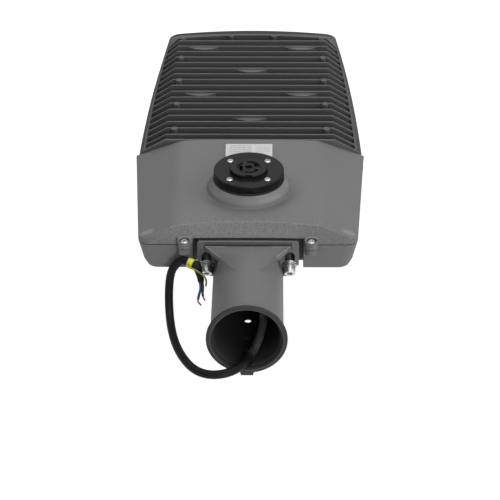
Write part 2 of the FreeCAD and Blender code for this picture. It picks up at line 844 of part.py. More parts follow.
def sink_wire(z, inset, side_points, tip_gap, corner):
    """Closed plan of the heat sink: straight rear edge, bowed sides, rounded corners, bowed front."""
    side_centre, side_radius = circle_through(*[Vector(x, y, 0) for x, y in side_points])
    side_radius -= inset
    front_centre = Vector(0, num("tip_y - sink_front_arc"), 0)
    front_radius = num("sink_front_arc") - tip_gap - inset
    corner_radius = corner - inset
    # The corner's centre lies inside both arcs by the corner radius
    reach_side, reach_front = side_radius - corner_radius, front_radius - corner_radius
    between = front_centre - side_centre
    apart = between.Length
    along = (reach_side ** 2 - reach_front ** 2 + apart ** 2) / (2 * apart)
    away = math.sqrt(reach_side ** 2 - along ** 2)
    unit = between.normalize()
    normal = Vector(-unit.y, unit.x, 0)
    choices = [side_centre + unit * along + normal * sign * away for sign in (-1, 1)]
    centre = max(choices, key=lambda point: point.x + point.y)
    out_side = (centre - side_centre).normalize()
    out_front = (centre - front_centre).normalize()
    side_end = centre + out_side * corner_radius
    front_end = centre + out_front * corner_radius
    middle = centre + (out_side + out_front).normalize() * corner_radius
    rear = num("joint_y") - 2 * num("sink_shoulder_inset")
    rear_x = side_centre.x + math.sqrt(side_radius ** 2 - (rear - side_centre.y) ** 2)
    half_y = (rear + side_end.y) / 2
    half_x = side_centre.x + math.sqrt(side_radius ** 2 - (half_y - side_centre.y) ** 2)

    def mirrored(point):
        return Vector(-point.x, point.y, z)

    def level(point):
        return Vector(point.x, point.y, z)
    rear_point, side_middle = Vector(rear_x, rear, z), Vector(half_x, half_y, z)
    tip = Vector(0, front_centre.y + front_radius, z)
    return Part.Wire([
        Part.LineSegment(mirrored(rear_point), rear_point).toShape(),
        Part.Arc(rear_point, side_middle, level(side_end)).toShape(),
        Part.Arc(level(side_end), level(middle), level(front_end)).toShape(),
        Part.Arc(level(front_end), tip, mirrored(front_end)).toShape(),
        Part.Arc(mirrored(front_end), mirrored(middle), mirrored(side_end)).toShape(),
        Part.Arc(mirrored(side_end), mirrored(side_middle), mirrored(rear_point)).toShape(),
    ])


def edge_wire(z, inset):
    points = [(num("joint_half"), num("joint_y")),
              (num("joint_half - sink_mid_taper"), num("joint_y + sink_mid_reach")),
              (num("joint_half - sink_front_taper"), num("tip_y - sink_front_gap"))]
    return sink_wire(z, inset, points, 0, num("sink_corner"))


def crest_wire():
    """Plan of the fins' crests."""
    rear = num("joint_half - crest_inset_rear")
    front = num("joint_half - sink_front_taper - crest_inset_front")
    start, end = num("joint_y"), num("tip_y - crest_tip_gap")
    points = [(rear, start), ((rear + front) / 2 + num("crest_bow"), (start + end) / 2), (front, end)]
    return sink_wire(num("sink_crest"), 0, points, num("crest_tip_gap"), num("crest_corner"))


def fin_places():
    """Y of each fin from the front to the rear."""
    first, pitch = num("tip_y - fin_first_gap"), num("fin_pitch")
    count = int((first - num("joint_y + wall + fin_root")) / pitch) + 1
    return [first - index * pitch for index in range(count)]


def across_prism(profile):
    """Solid across the whole head from a profile of y and z."""
    half = num("joint_half") + 10
    points = [Vector(-half, y, z) for y, z in profile]
    return prism(rounded_wire(points, [0] * len(points)), ACROSS * (2 * half))


def fin_gaps():
    """Troughs between the fins, wider at the top because each fin tapers."""
    floor, top, crest = num("sink_floor"), num("sink_crest") + 1, num("sink_crest")
    root, tip = num("fin_root") / 2, num("fin_crest") / 2
    over = tip - (root - tip) / (crest - floor) * (top - crest)
    ys = fin_places()
    gaps = []
    for front, rear in zip(ys, ys[1:]):
        gaps.append(across_prism([(rear + root, floor), (front - root, floor), (front - over, top),
                                  (rear + over, top)]))
    rear_wall = num("joint_y") + num("wall")
    gaps.append(across_prism([(rear_wall + root - tip, floor), (ys[-1] - root, floor),
                              (ys[-1] - over, top), (rear_wall, top)]))
    rib_centre = Vector(0, num("tip_y - sink_front_arc"), floor)
    behind_rib = Part.makeCylinder(num("rib_rear_radius"), top - floor, rib_centre)
    first_gap = across_prism([(ys[0] + root, floor), (num("tip_y"), floor), (num("tip_y"), top),
                              (ys[0] + over, top)])
    gaps.append(first_gap.common(behind_rib))
    return gaps


def heat_sink_housing():
    low, wide, rim, shoulder = num("sink_low"), num("sink_wide"), num("sink_rim"), num("sink_shoulder")
    floor, crest, joint, tip = num("sink_floor"), num("sink_crest"), num("joint_y"), num("tip_y")
    inset = num("sink_shoulder_inset")
    shell = loft([edge_wire(low, num("sink_low_inset")), edge_wire(wide, 0),
                  edge_wire(rim, num("sink_rim_inset")), edge_wire(shoulder, inset)])
    crown_foot = shoulder - 2
    crown = loft([edge_wire(crown_foot, inset), edge_wire(shoulder, inset), crest_wire()])
    shell = shell.fuse(crown)
    half = num("joint_half") + 10
    shell = shell.cut(block(half, joint - 3 * inset, joint, low - 5, crest + 5))
    rib_rear = tip - num("front_rib_gap")
    shell = shell.cut(block(half, rib_rear - 12, tip, num("front_rib_top"), crest + 5))

    # Troughs between the fins, inside the wall
    inner = prism(edge_wire(floor, inset), UP * (crest + 2 - floor))
    troughs = [gap.common(inner) for gap in fin_gaps()]
    shell = shell.cut(Part.makeCompound(troughs))

    # Tie pillars behind every fourth fin and behind the front rib, and oval pads between them
    ys = fin_places()
    radius, offset, proud = num("pillar_radius"), num("pillar_offset"), num("pillar_proud")
    pillars = []
    for index in range(3, len(ys), 4):
        for side in (-1, 1):
            foot = Vector(side * num("pillar_spread"), ys[index] - offset, floor)
            pillars.append(Part.makeCylinder(radius, crest + proud - floor, foot))
    rib_top, rib_radius = num("front_rib_top"), num("rib_rear_radius")
    rib_centre = num("tip_y - sink_front_arc")
    for x in (num("pillar_spread"), num("front_pillar_spread")):
        y = rib_centre + math.sqrt((rib_radius - offset / 2) ** 2 - x ** 2)
        for side in (-1, 1):
            pillars.append(Part.makeCylinder(radius, rib_top + proud - floor, Vector(side * x, y, floor)))
    chord, bulge = num("pad_chord_half"), num("pad_bulge")
    pad_radius = (chord ** 2 + bulge ** 2) / (2 * bulge)
    for index in range(1, len(ys), 4):
        spread = num("pad_spread") if index % 8 == 1 else 0
        drop = num("pad_drop") + index * num("pad_drop_step")
        for side in ((-1, 1) if spread else (1,)):
            centre = Vector(side * spread, ys[index] - bulge + pad_radius, floor)
            pad = Part.makeCylinder(pad_radius, crest - floor - drop, centre)
            keep = block(half, ys[index] - bulge - 1, ys[index], floor, crest)
            pillars.append(pad.common(keep))
    shell = shell.fuse(pillars)

    # Lamp pocket underneath, its screw holes, and the holes in the rear wall
    ceiling = num("lamp_ceiling")
    pocket = prism(rectangle(num("lamp_half"), num("lamp_low_y"), num("lamp_high_y"), low - 1,
                             num("lamp_corner")),
                   UP * (ceiling - low + 1))
    shell = shell.cut(pocket)
    holes = []
    for x, y in lens_screw_places():
        holes.append(Part.makeCylinder(num("lens_screw_radius + thread_clearance"),
                                       num("lens_screw_reach - lens_skirt - lens_seal + 1"),
                                       Vector(x, y, ceiling - 1)))
    for x in join_places():
        holes.append(Part.makeCylinder(num("join_screw_radius + thread_clearance"), num("join_reach") + 1,
                                       Vector(x, joint, num("join_height")), FORWARD))
    holes.append(Part.makeCylinder(num("passage_radius"), num("lamp_start") + 1,
                                   Vector(0, joint, num("passage_height")), FORWARD))
    shell = shell.cut(holes)
    return shaped("heat_sink_housing", shell.removeSplitter())


# Lamp side
def board_fields():
    """Low and high Y of the two boards."""
    low, high = num("lamp_low_y + board_edge"), num("lamp_high_y - board_edge")
    middle, half_gap = (low + high) / 2, num("board_gap") / 2
    return [(low, middle - half_gap), (middle + half_gap, high)]


def chip_places():
    places = []
    rows, columns = int(num("chip_rows")), int(num("chip_columns"))
    for low, high in board_fields():
        for row in range(rows):
            y = (low + high) / 2 + (row - (rows - 1) / 2) * num("chip_pitch_y")
            for column in range(columns):
                places.append(((column - (columns - 1) / 2) * num("chip_pitch_x"), y))
    return places


def lamp_parts():
    ceiling, board_low = num("lamp_ceiling"), num("board_low")
    half = num("lamp_half - board_edge")
    boards = [prism(rectangle(half, low, high, board_low, num("board_corner")), UP * num("board_thick"))
              for low, high in board_fields()]
    size, thick = num("chip_size"), num("chip_thick")
    chips = [Part.makeBox(size, size, thick, Vector(x - size / 2, y - size / 2, board_low - thick))
             for x, y in chip_places()]
    edge = num("lens_edge")
    low, high, outer = num("lamp_low_y") + edge, num("lamp_high_y") - edge, num("lamp_half") - edge
    rim = num("board_edge") - edge - 1
    seal_low = ceiling - num("lens_seal")
    corner, inner_corner = num("lens_corner"), num("lens_inner_corner")

    def ring(bottom, top):
        whole = prism(rectangle(outer, low, high, bottom, corner), UP * (top - bottom))
        return whole.cut(prism(rectangle(outer - rim, low + rim, high - rim, bottom, inner_corner),
                               UP * (top - bottom)))
    seal = ring(seal_low, ceiling)
    skirt = num("lens_skirt")
    plate_low = seal_low - skirt
    plate = ring(plate_low, seal_low)
    plate = plate.fuse(prism(rectangle(outer - rim / 2, low + rim / 2, high - rim / 2, plate_low,
                                       inner_corner),
                             UP * num("lens_plate")))
    domes = [Part.makeCone(num("lens_radius"), num("lens_tip_radius"), num("lens_rise"),
                           Vector(x, y, plate_low), -UP)
             for x, y in chip_places()]
    plate = plate.fuse(domes)
    holes = [Part.makeCylinder(num("lens_screw_radius + screw_clearance"), skirt + 2 * num("lens_seal") + 2,
                               Vector(x, y, plate_low - 1)) for x, y in lens_screw_places()]
    return [
        shaped("led_boards", Part.makeCompound(boards)),
        shaped("led_chips", Part.makeCompound(chips)),
        shaped("lens_gasket", seal.cut(holes)),
        shaped("lens_plate", plate.cut(holes).removeSplitter()),
    ]


# Pole adaptor, one casting
def pole_adaptor():
    """Flange, tube and lip, with a slanting spot face for each bolt."""
    body = doc.addObject("PartDesign::Body", "adaptor_blank")
    side = "flange_half - flange_chamfer_side"
    flange_profile = [(f"-({side})", "flange_low"), (side, "flange_low"),
                      ("flange_half", "flange_low + flange_chamfer"), ("flange_half", "flange_high"),
                      ("-flange_half", "flange_high"), ("-flange_half", "flange_low + flange_chamfer")]
    outline = sketch(body, "flange_profile", "XZ_Plane", "-(flange_back)", [flange_profile])
    sweep_feature(body, "Pad", "flange", outline, "flange_thick")
    shelf_profile = [("-shelf_narrow_half", "tube_length - shelf_reach"),
                     ("shelf_narrow_half", "tube_length - shelf_reach"),
                     ("shelf_wide_half", "tube_length + 1"), ("-shelf_wide_half", "tube_length + 1")]
    outline = sketch(body, "shelf_profile", "XY_Plane", "shelf_top - shelf_thick", [shelf_profile])
    sweep_feature(body, "Pad", "shelf", outline, "shelf_thick")
    front, back = "tube_length - shelf_reach - shelf_rim", "tube_length - shelf_gap - shelf_rim"
    field_profile = [("-shelf_field_front_half", front), ("shelf_field_front_half", front),
                     ("shelf_field_half", back), ("-shelf_field_half", back)]
    outline = sketch(body, "shelf_field_profile", "XY_Plane", "shelf_top - shelf_rim_height",
                     [field_profile])
    sweep_feature(body, "Pocket", "shelf_field", outline, "shelf_rim_height + 1", reverse=True)
    tube_profile = [("0", "0"), ("lip_radius - lip_round", "0"), ("lip_radius", "lip_round"),
                    ("lip_radius", "lip_width - lip_round"), ("lip_radius - lip_round", "lip_width"),
                    ("tube_radius", "lip_width"), ("tube_radius", "tube_length"), ("0", "tube_length")]
    turned(body, "Revolution", "tube", sketch(body, "tube_profile", "XY_Plane", "0", [tube_profile]))
    gap_profile = [("-(channel_half + shelf_rim)", "tube_length - shelf_gap"),
                   ("channel_half + shelf_rim", "tube_length - shelf_gap"),
                   ("channel_half + shelf_rim", "tube_length"),
                   ("-(channel_half + shelf_rim)", "tube_length")]
    outline = sketch(body, "shelf_gap_profile", "XY_Plane", "channel_low", [gap_profile])
    sweep_feature(body, "Pocket", "shelf_gap", outline, "shelf_top", reverse=True)
    rail_profile = [("-rail_foot_half", "-(tube_radius + rail_drop)"),
                    ("rail_foot_half", "-(tube_radius + rail_drop)"),
                    ("rail_half", "-(tube_radius - lip_height)"),
                    ("-rail_half", "-(tube_radius - lip_height)")]
    outline = sketch(body, "rail_profile", "XZ_Plane", "0", [rail_profile])
    sweep_feature(body, "Pad", "rail", outline, "rail_length", reverse=True)
    bore_profile = [("0", "-1"), ("mouth_radius + 1 * (mouth_radius - bore_radius) / lead_in", "-1"),
                    ("mouth_radius", "0"), ("bore_radius", "lead_in"),
                    ("bore_radius", "tube_length - stop_thick"), ("0", "tube_length - stop_thick")]
    turned(body, "Groove", "bore", sketch(body, "bore_profile", "XY_Plane", "0", [bore_profile]))
    groove_profile = [("-groove_half", "-(bore_radius + groove_depth)"),
                      ("groove_half", "-(bore_radius + groove_depth)"),
                      ("groove_half", "-(bore_radius - 4)"), ("-groove_half", "-(bore_radius - 4)")]
    outline = sketch(body, "groove_profile", "XZ_Plane", "-(tube_length - stop_thick)", [groove_profile])
    sweep_feature(body, "Pocket", "bore_groove", outline, "tube_length - stop_thick + 1", reverse=True)
    outline = sketch(body, "window_profile", "XZ_Plane", "-(flange_back + 1)",
                     circles=[("0", "window_height", "window_radius")])
    sweep_feature(body, "Pocket", "window", outline, "flange_thick + stop_thick + 3", reverse=True)
    slots, ends = [], []
    for sign in ("-1 *", "1 *"):
        slots.append([(f"{sign} bolt_spread - slot_half", "slot_low + slot_half"),
                      (f"{sign} bolt_spread + slot_half", "slot_low + slot_half"),
                      (f"{sign} bolt_spread + slot_half", "slot_high - slot_half"),
                      (f"{sign} bolt_spread - slot_half", "slot_high - slot_half")])
        ends += [(f"{sign} bolt_spread", "slot_low + slot_half", "slot_half"),
                 (f"{sign} bolt_spread", "slot_high - slot_half", "slot_half")]
    outline = sketch(body, "slot_profile", "XZ_Plane", "-(flange_back + 1)", polygons=slots)
    sweep_feature(body, "Pocket", "slots", outline, "flange_thick + 2", reverse=True)
    for name, places in (("slot_feet", ends[0::2]), ("slot_heads", ends[1::2])):
        outline = sketch(body, f"{name}_profile", "XZ_Plane", "-(flange_back + 1)", circles=places)
        sweep_feature(body, "Pocket", name, outline, "flange_thick + 2", reverse=True)
    channel = [("-channel_half", "channel_low"), ("channel_half", "channel_low"),
               ("channel_half", "channel_high"), ("-channel_half", "channel_high")]
    outline = sketch(body, "channel_profile", "XZ_Plane", "-(tube_length - 1)", [channel])
    sweep_feature(body, "Pocket", "channel", outline, "channel_depth + 1")
    outline = sketch(body, "clamp_hole_profile", "XY_Plane", "-(tube_radius + rail_drop + 1)",
                     circles=[("0", "clamp_front_reach", "clamp_hole_radius"),
                              ("0", "clamp_rear_reach", "clamp_hole_radius"),
                              ("0", "drain_reach", "drain_radius")])
    holes = sweep_feature(body, "Pocket", "clamp_holes", outline, "rail_drop + tube_wall + 3", reverse=True)
    doc.recompute()

    def top_corner(edge):
        middle, near = edge.CenterOfMass, 0.1
        at_top = middle.z > num("flange_high") - near
        return runs_along(FORWARD)(edge) and at_top and abs(middle.x) > num("flange_half") - near
    rounded(body, "flange_corners", holes, "flange_round", top_corner)
    doc.recompute()
    half, low = num("flange_half") + 1, num("flange_low") - 1
    flange = block(half, num("tube_length"), num("flange_back"), low, num("flange_high"))
    spots = [Part.makeCylinder(num("bolt_spot_radius"), 4 * num("bolt_spot_radius"), seat,
                               -axis).common(flange)
             for seat, axis in bolt_seats()]
    root, tip = num("tube_length - shelf_reach"), num("tube_length - neck_reach")
    low, low_half, top = num("neck_low"), num("neck_low_half"), num("shelf_top - shelf_rim_height")
    sections = [(root, num("shelf_narrow_half"), top), (tip, num("neck_tip_half"), num("neck_tip_height"))]
    neck = loft([rounded_wire([Vector(-half, y, high), Vector(half, y, high), Vector(low_half, y, low),
                               Vector(-low_half, y, low)], [0] * 4) for y, half, high in sections])
    neck = neck.cut(Part.makeCylinder(num("bore_radius + tube_wall / 2"), num("tube_length"), Vector(),
                                      FORWARD))
    return shaped("pole_adaptor", body.Shape.fuse(neck).cut(spots).removeSplitter())


def adaptor_fasteners():
    """Bolt, spring washer and flat washer at each slot, along the bolt's slanting axis."""
    thin, spring = num("washer_thick"), num("spring_washer_thick")
    shank, loose = num("bolt_shank_radius"), num("bolt_shank_radius + bolt_clearance")
    head, gap = num("bolt_head_height"), num("spring_washer_gap")
    bolts, springs, flats = [], [], []
    for seat, axis in bolt_seats():
        turn = Rotation(UP, axis)

        def disc(radius, low, high, sides=0):
            """Disc or six-sided prism between two distances outward from the seat."""
            start = seat - axis * high
            if not sides:
                return Part.makeCylinder(radius, high - low, start, axis)
            angles = [math.tau * index / sides for index in range(sides)]
            corners = [start + turn.multVec(Vector(math.cos(angle), math.sin(angle), 0) * radius)
                       for angle in angles]
            return prism(rounded_wire(corners, [0] * sides), axis * (high - low))
        flats.append(disc(num("washer_radius"), 0, thin).cut(disc(loose, 0, thin)))
        split = Part.makeBox(gap, num("spring_washer_radius"), spring, Vector(-gap / 2, 0, 0))
        split.Placement = Placement(seat - axis * (thin + spring), turn)
        springs.append(disc(num("spring_washer_radius"), thin,
                            thin + spring).cut([disc(loose, thin, thin + spring), split]))
        under = thin + spring
        bolt = disc(num("bolt_head_radius"), under,
                    under + head).fuse(disc(shank, -num("bolt_reach"), under + 1))
        socket = disc(num("bolt_socket_radius"), under + head - num("bolt_socket_depth"), under + head, 6)
        bolts.append(bolt.cut(socket).removeSplitter())
    return [shaped("adaptor_bolts", Part.makeCompound(bolts)),
            shaped("spring_washers", Part.makeCompound(springs)),
            shaped("flat_washers", Part.makeCompound(flats))]


# Receptacle on the boss
def photocell_receptacle():
    body = doc.addObject("PartDesign::Body", "receptacle_blank")
    profile = [("0", "boss_top - body_below"), ("body_below_radius", "boss_top - body_below"),
               ("body_below_radius", "seal_top"), ("receptacle_radius", "seal_top"),
               ("receptacle_radius", "seal_top + receptacle_step"),
               ("receptacle_neck", "seal_top + receptacle_step"),
               ("receptacle_neck", "disc_low"), ("receptacle_radius", "disc_low"),
               ("receptacle_radius", "disc_top - receptacle_edge"),
               ("receptacle_radius - receptacle_edge", "disc_top"),
               ("receptacle_dish_radius + receptacle_dish_slope", "disc_top"),
               ("receptacle_dish_radius", "dish_floor"),
               ("hub_radius", "dish_floor"), ("hub_radius", "hub_top - hub_edge"),
               ("hub_radius - hub_edge", "hub_top"),
               ("hub_centre_radius", "hub_top"), ("hub_centre_radius", "hub_top - hub_centre_sink"),
               ("0", "hub_top - hub_centre_sink")]
    outline = sketch(body, "receptacle_profile", "XZ_Plane", "-(boss_y)", [profile])
    turned(body, "Revolution", "receptacle_body", outline)
    key = [("-key_half", "boss_y - hub_radius - 1"), ("key_half", "boss_y - hub_radius - 1"),
           ("key_half", "boss_y - hub_radius + key_depth"),
           ("-key_half", "boss_y - hub_radius + key_depth")]
    outline = sketch(body, "key_profile", "XY_Plane", "hub_top + 1", [key])
    sweep_feature(body, "Pocket", "key_notch", outline, "hub_height + receptacle_dish + 1")
    notch = [("-notch_half", "boss_y - receptacle_radius - 1"),
             ("notch_half", "boss_y - receptacle_radius - 1"),
             ("notch_half", "boss_y - receptacle_radius + notch_depth"),
             ("-notch_half", "boss_y - receptacle_radius + notch_depth")]
    outline = sketch(body, "notch_profile", "XY_Plane", "seal_top + receptacle_step", [notch])
    sweep_feature(body, "Pocket", "edge_notch", outline, "receptacle_step")
    x, y = "plate_screw_x", "plate_screw_y"
    places = [(f"{i} * {x}", f"boss_y + {j} * {y}") for i in (-1, 1) for j in (-1, 1)]
    outline = sketch(body, "screw_hole_profile", "XY_Plane", "hub_top",
                     circles=[(px, py, "plate_screw_radius + screw_clearance") for px, py in places])
    sweep_feature(body, "Pocket", "screw_holes", outline, "hub_top - seal_top + 1")
    outline = sketch(body, "screw_seat_profile", "XY_Plane", "hub_top + 1",
                     circles=[(px, py, "plate_screw_head_radius + screw_clearance") for px, py in places])
    sweep_feature(body, "Pocket", "screw_seats", outline, "hub_height + receptacle_dish + 1")
    return body


CONTACT_SECTORS = ((125, 235), (5, 100), (-112, -28))


def sector(radius, width, low, high, start, end):
    """Upright curved blade round the receptacle's axis."""
    outer, inner = radius + width / 2, radius - width / 2
    centre = Vector(0, num("boss_y"), low)
    whole = Part.makeCylinder(outer, high - low, centre, UP, end - start)
    whole = whole.cut(Part.makeCylinder(inner, high - low, centre))
    return whole.rotated(centre, UP, start)


def receptacle_with_contacts():
    """The receptacle with its three curved slots, and the contacts that stand in them."""
    blank = photocell_receptacle()
    doc.recompute()
    radius, width, top = num("hub_slot_radius"), num("hub_slot_width"), num("hub_top")
    low = top - num("hub_slot_depth")
    slots = [sector(radius, width, low, top + 1, *angles) for angles in CONTACT_SECTORS]
    body = shaped("photocell_receptacle", blank.Shape.cut(slots))
    margin = num("contact_margin")
    contacts = [sector(radius, num("contact_thick"), low, top - num("contact_sink"), start + margin,
                       end - margin)
                for start, end in CONTACT_SECTORS]
    return body, shaped("receptacle_contacts", Part.makeCompound(contacts))


def receptacle_gasket():
    disc = rod("seal_disc", "seal_radius", "seal_thick", "0", "boss_y", "boss_top")
    hole = rod("seal_hole", "boss_hole_radius", "seal_thick", "0", "boss_y", "boss_top")
    holes = [rod(f"seal_screw_hole_{i}{j}", "plate_screw_radius + screw_clearance", "seal_thick",
                 f"{2 * i - 1} * plate_screw_x", f"boss_y + {2 * j - 1} * plate_screw_y", "boss_top")
             for i in (0, 1) for j in (0, 1)]
    return cut("receptacle_gasket", disc, [hole] + holes)


def rating_plate():
    body = doc.addObject("PartDesign::Body", "rating_plate")
    field = [("-plate_left", "tube_length + plate_start"), ("plate_right", "tube_length + plate_start"),
             ("plate_right", "tube_length + plate_end"), ("-plate_left", "tube_length + plate_end")]
    outline = sketch(body, "plate_profile", "XY_Plane", "crown_apex - plate_bed", [field])
    sweep_feature(body, "Pad", "plate", outline, "plate_thick + plate_bury")
    return body


# Inside the driver compartment
def driver():
    body = doc.addObject("PartDesign::Body", "led_driver")
    half = "driver_length / 2"
    case = [(f"-({half})", "driver_y"), (half, "driver_y"), (half, "driver_y + driver_width"),
            (f"-({half})", "driver_y + driver_width")]
    outline = sketch(body, "driver_profile", "XY_Plane", "driver_z", [case])
    box_pad = sweep_feature(body, "Pad", "driver_case", outline, "driver_height")
    rounded(body, "driver_edges", box_pad, "driver_round",
                           lambda edge: edge.CenterOfMass.z > num("driver_z") + 1)
    reach = "driver_length / 2 + driver_tab"
    front, back = "driver_y + driver_ear_inset", "driver_y + driver_width - driver_ear_inset"
    ears = [(f"-({reach})", front), (reach, front), (reach, back), (f"-({reach})", back)]
    outline = sketch(body, "driver_ear_profile", "XY_Plane", "driver_z", [ears])
    sweep_feature(body, "Pad", "driver_ears", outline, "driver_tab_thick")
    rows = ("driver_y + driver_screw_inset", "driver_y + driver_width - driver_screw_inset")
    places = [(f"{side} * (driver_length + driver_tab) / 2", y, "driver_screw_radius + screw_clearance")
              for side in (-1, 1) for y in rows]
    outline = sketch(body, "driver_hole_profile", "XY_Plane", "driver_z + driver_tab_thick + 1",
                     circles=places)
    sweep_feature(body, "Pocket", "driver_holes", outline, "driver_tab_thick + 2")
    return body


def terminal_block():
    low_y = "recess_back + block_stand_off"
    left = "-(block_x) - block_length / 2"
    blank = box("block_blank", "block_length", "block_width", "block_height", left, low_y, "tray_floor")
    ways = int(num("block_ways"))
    tools = []
    for index in range(ways):
        x = f"{left} + block_length * {(index + 0.5) / ways}"
        tools.append(rod(f"block_screw_well_{index}", "block_screw_radius", "block_screw_depth", x,
                         f"{low_y} + block_width / 2", "tray_floor + block_height - block_screw_depth"))
        tools.append(rod(f"block_wire_way_{index}", "block_wire_radius", "block_width", x, low_y,
                         "tray_floor + block_wire_height", FORWARD))
    return cut("terminal_block", blank, tools)


def surge_protector():
    body = doc.addObject("PartDesign::Body", "surge_protector")
    left, low_y = "surge_x - surge_length / 2", "recess_back + block_stand_off"
    field = [(left, low_y), (f"{left} + surge_length", low_y),
             (f"{left} + surge_length", f"{low_y} + surge_width"), (left, f"{low_y} + surge_width")]
    outline = sketch(body, "surge_profile", "XY_Plane", "tray_floor", [field])
    case = sweep_feature(body, "Pad", "surge_case", outline, "surge_height")
    rounded(body, "surge_edges", case, "driver_round",
            lambda edge: edge.CenterOfMass.z > num("tray_floor") + 1)
    return body


def cable_gland():
    """Gland through the recess's back wall: hexagon against the pad, domed nut, lock nut inside."""
    face, height = "gland_face", "window_height"
    shank = rod("gland_thread", "gland_thread_radius",
                "recess_depth - flange_thick + wall + gland_lock_thick + 2",
                "0", face, height, FORWARD)
    collar = hexagon("gland_hexagon", "gland_flange_radius", "gland_flange_thick", "0",
                     f"{face} - gland_flange_thick", height, FORWARD)
    nut = cone("gland_dome", "gland_nose_radius", "gland_nut_radius", "gland_nut_length", "0",
               "gland_nose_y", height, FORWARD)
    lock = hexagon("gland_lock_nut", "gland_lock_radius", "gland_lock_thick", "0", "recess_back + wall",
                   height, FORWARD)
    way = rod("gland_way", "cable_radius",
              "gland_nut_length + gland_flange_thick + recess_depth + 4 * wall + 10",
              "0", "gland_nose_y", height, FORWARD)
    return cut("cable_gland", fuse("gland_blank", [shank, collar, nut, lock]), [way])


# Mains cable and its cores: straight runs joined by tangent arcs
CABLE_ROUTE = (
    (0, 107, 19.5), (0, 97, 19), (1.5, 90, 15.5), (4.5, 83.5, 9), (8.8, 77, 1), (13, 70, -7),
    (15.6, 61.5, -14.5),
    (14.8, 51.5, -20.4), (12.2, 40.5, -23.3), (9.3, 30, -25), (6.2, 20, -26), (1.8, 9.5, -26.6),
    (-3.2, -1.2, -27),
    (-10.8, -9.6, -27.6), (-21.2, -14.6, -28.6), (-32.6, -14.8, -29.8), (-43.4, -10.6, -30.6),
    (-52, -2.4, -31), (-58.6, 8.2, -31.2), (-64.6, 21, -31.2), (-69.6, 36, -31.4), (-73.4, 52, -31.2),
    (-76.2, 68, -30), (-78, 82, -26.2), (-78.9, 92.5, -19), (-78.9, 99, -9.4), (-78, 102.4, 1.2),
    (-75.8, 103.6, 11), (-71.2, 103.9, 18), (-66.4, 103.3, 22.6), (-62.4, 101.7, 24), (-59, 100.2, 23.3),
)
BUNDLE_ROUTE = ((-53.6, 97.62, 22.18), (-51.5, 96.69, 21.76), (-49.6, 95.6, 19.5), (-48.6, 95.2, 14.3),
                (-47.1, 94.6, 9),
                (-46.5, 94.3, 4.2))
BLUE_ROUTE = ((-47.7, 94.5, 3.8), (-46.9, 94.6, -1.8), (-47.4, 94.8, -7.9), (-48.85, 95, -12.4),
              (-49.85, 95, -17.7))
BLUE_TIP = ((-49.85, 95, -17.7), (-50.25, 95, -19.82), (-49.2, 95, -22.6), (-46.8, 95, -25.5))
BROWN_ROUTE = ((-45.1, 94.4, 3.8), (-44.6, 94.5, -1.7), (-44.9, 94.8, -6.7), (-45.3, 95, -11),
               (-44.9, 95.1, -14.2))
BROWN_TIP = ((-44.9, 95.1, -14.2), (-44.6, 95.18, -16.6), (-42.9, 95.2, -19.4))
EARTH_ROUTE = ((-61.1, 94.9, 22.5), (-56.6, 92.3, 21), (-52.7, 91.6, 20.1), (-48.3, 90.4, 17.8),
               (-42.5, 89.7, 12.6),
               (-40.65, 89.3, 7.3), (-41.6, 89.6, 1.7))


def tube_path(route):
    """Wire of straight runs and tangent arcs, and the arcs' radii."""
    points = [Vector(*point) for point in route]
    edges, radii = [], []
    start = points[0]
    for before, corner, after in zip(points, points[1:], points[2:]):
        shorter = min((corner - before).Length, (after - corner).Length)
        turn = (corner - before).getAngle(after - corner)
        radius = 0.45 * shorter / math.tan(turn / 2)
        first, middle, last = corner_arc(before, corner, after, radius)
        edges.append(Part.LineSegment(start, first).toShape())
        edges.append(Part.Arc(first, middle, last).toShape())
        radii.append(radius)
        start = last
    edges.append(Part.LineSegment(start, points[-1]).toShape())
    return Part.Wire(edges), radii


def cord(name, route, radius):
    path, radii = tube_path(route)
    ahead = Vector(*route[1]) - Vector(*route[0])
    ring = Part.Wire(Part.Circle(Vector(*route[0]), ahead, radius).toShape())
    tube = path.makePipeShell([ring], True, False)
    share = tube.Volume / (math.pi * radius ** 2 * path.Length)
    bends = [round(value, 1) for value in radii]
    print(f"{name}: length {path.Length:.1f}, radii {bends}, volume share {share:.4f}")
    return shaped(name, tube)


def cable_parts():
    core, strand = num("core_radius"), num("strand_radius")
    cable_end, ahead = Vector(*CABLE_ROUTE[-1]), Vector(*CABLE_ROUTE[-1]) - Vector(*CABLE_ROUTE[-2])
    band = Part.makeCylinder(num("tape_radius"), num("tape_width"), cable_end, ahead)
    parts = [cord("mains_cable", CABLE_ROUTE, num("cable_radius")),
             cord("core_bundle", BUNDLE_ROUTE, num("bundle_radius")),
             cord("blue_core", BLUE_ROUTE, core), cord("brown_core", BROWN_ROUTE, core),
             cord("earth_core", EARTH_ROUTE, core)]
    tips = [cord(name, route, strand).Shape for name,
            route in (("blue_tip", BLUE_TIP), ("brown_tip", BROWN_TIP))]
    parts.append(shaped("bare_strands", Part.makeCompound(tips)))
    parts.append(shaped("end_tape", band))
    return parts


def build():
    nodes = [heat_sink_housing(), driver_tray(), driver_cover(), cover_gasket(), pole_adaptor()]
    nodes += adaptor_fasteners()
    nodes += list(receptacle_with_contacts())
    nodes += [receptacle_gasket(), rating_plate(), driver(), terminal_block(), surge_protector(),
              cable_gland()]
    nodes += lamp_parts() + screws() + cable_parts()
    doc.recompute()
    for item in doc.Objects:
        if "Invalid" in item.State or "Error" in item.State:
            raise RuntimeError(f"{item.Name} failed: {item.State}")
    os.makedirs("parts", exist_ok=True)
    for item in nodes:
        shape = item.Shape
        if shape.isNull() or not shape.isValid():
            raise RuntimeError(f"{item.Label} has no valid shape")
        shape.exportStep(f"parts/{item.Label}.step")
        print(item.Label, len(shape.Solids), round(shape.Volume))


build()
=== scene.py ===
"""LED street light head: finishes, fasteners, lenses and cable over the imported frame.

Metres, in the frame's own axes: +Y from the tube's mouth to the tip of the head, +Z up.
"""

import math
from functools import partialmethod

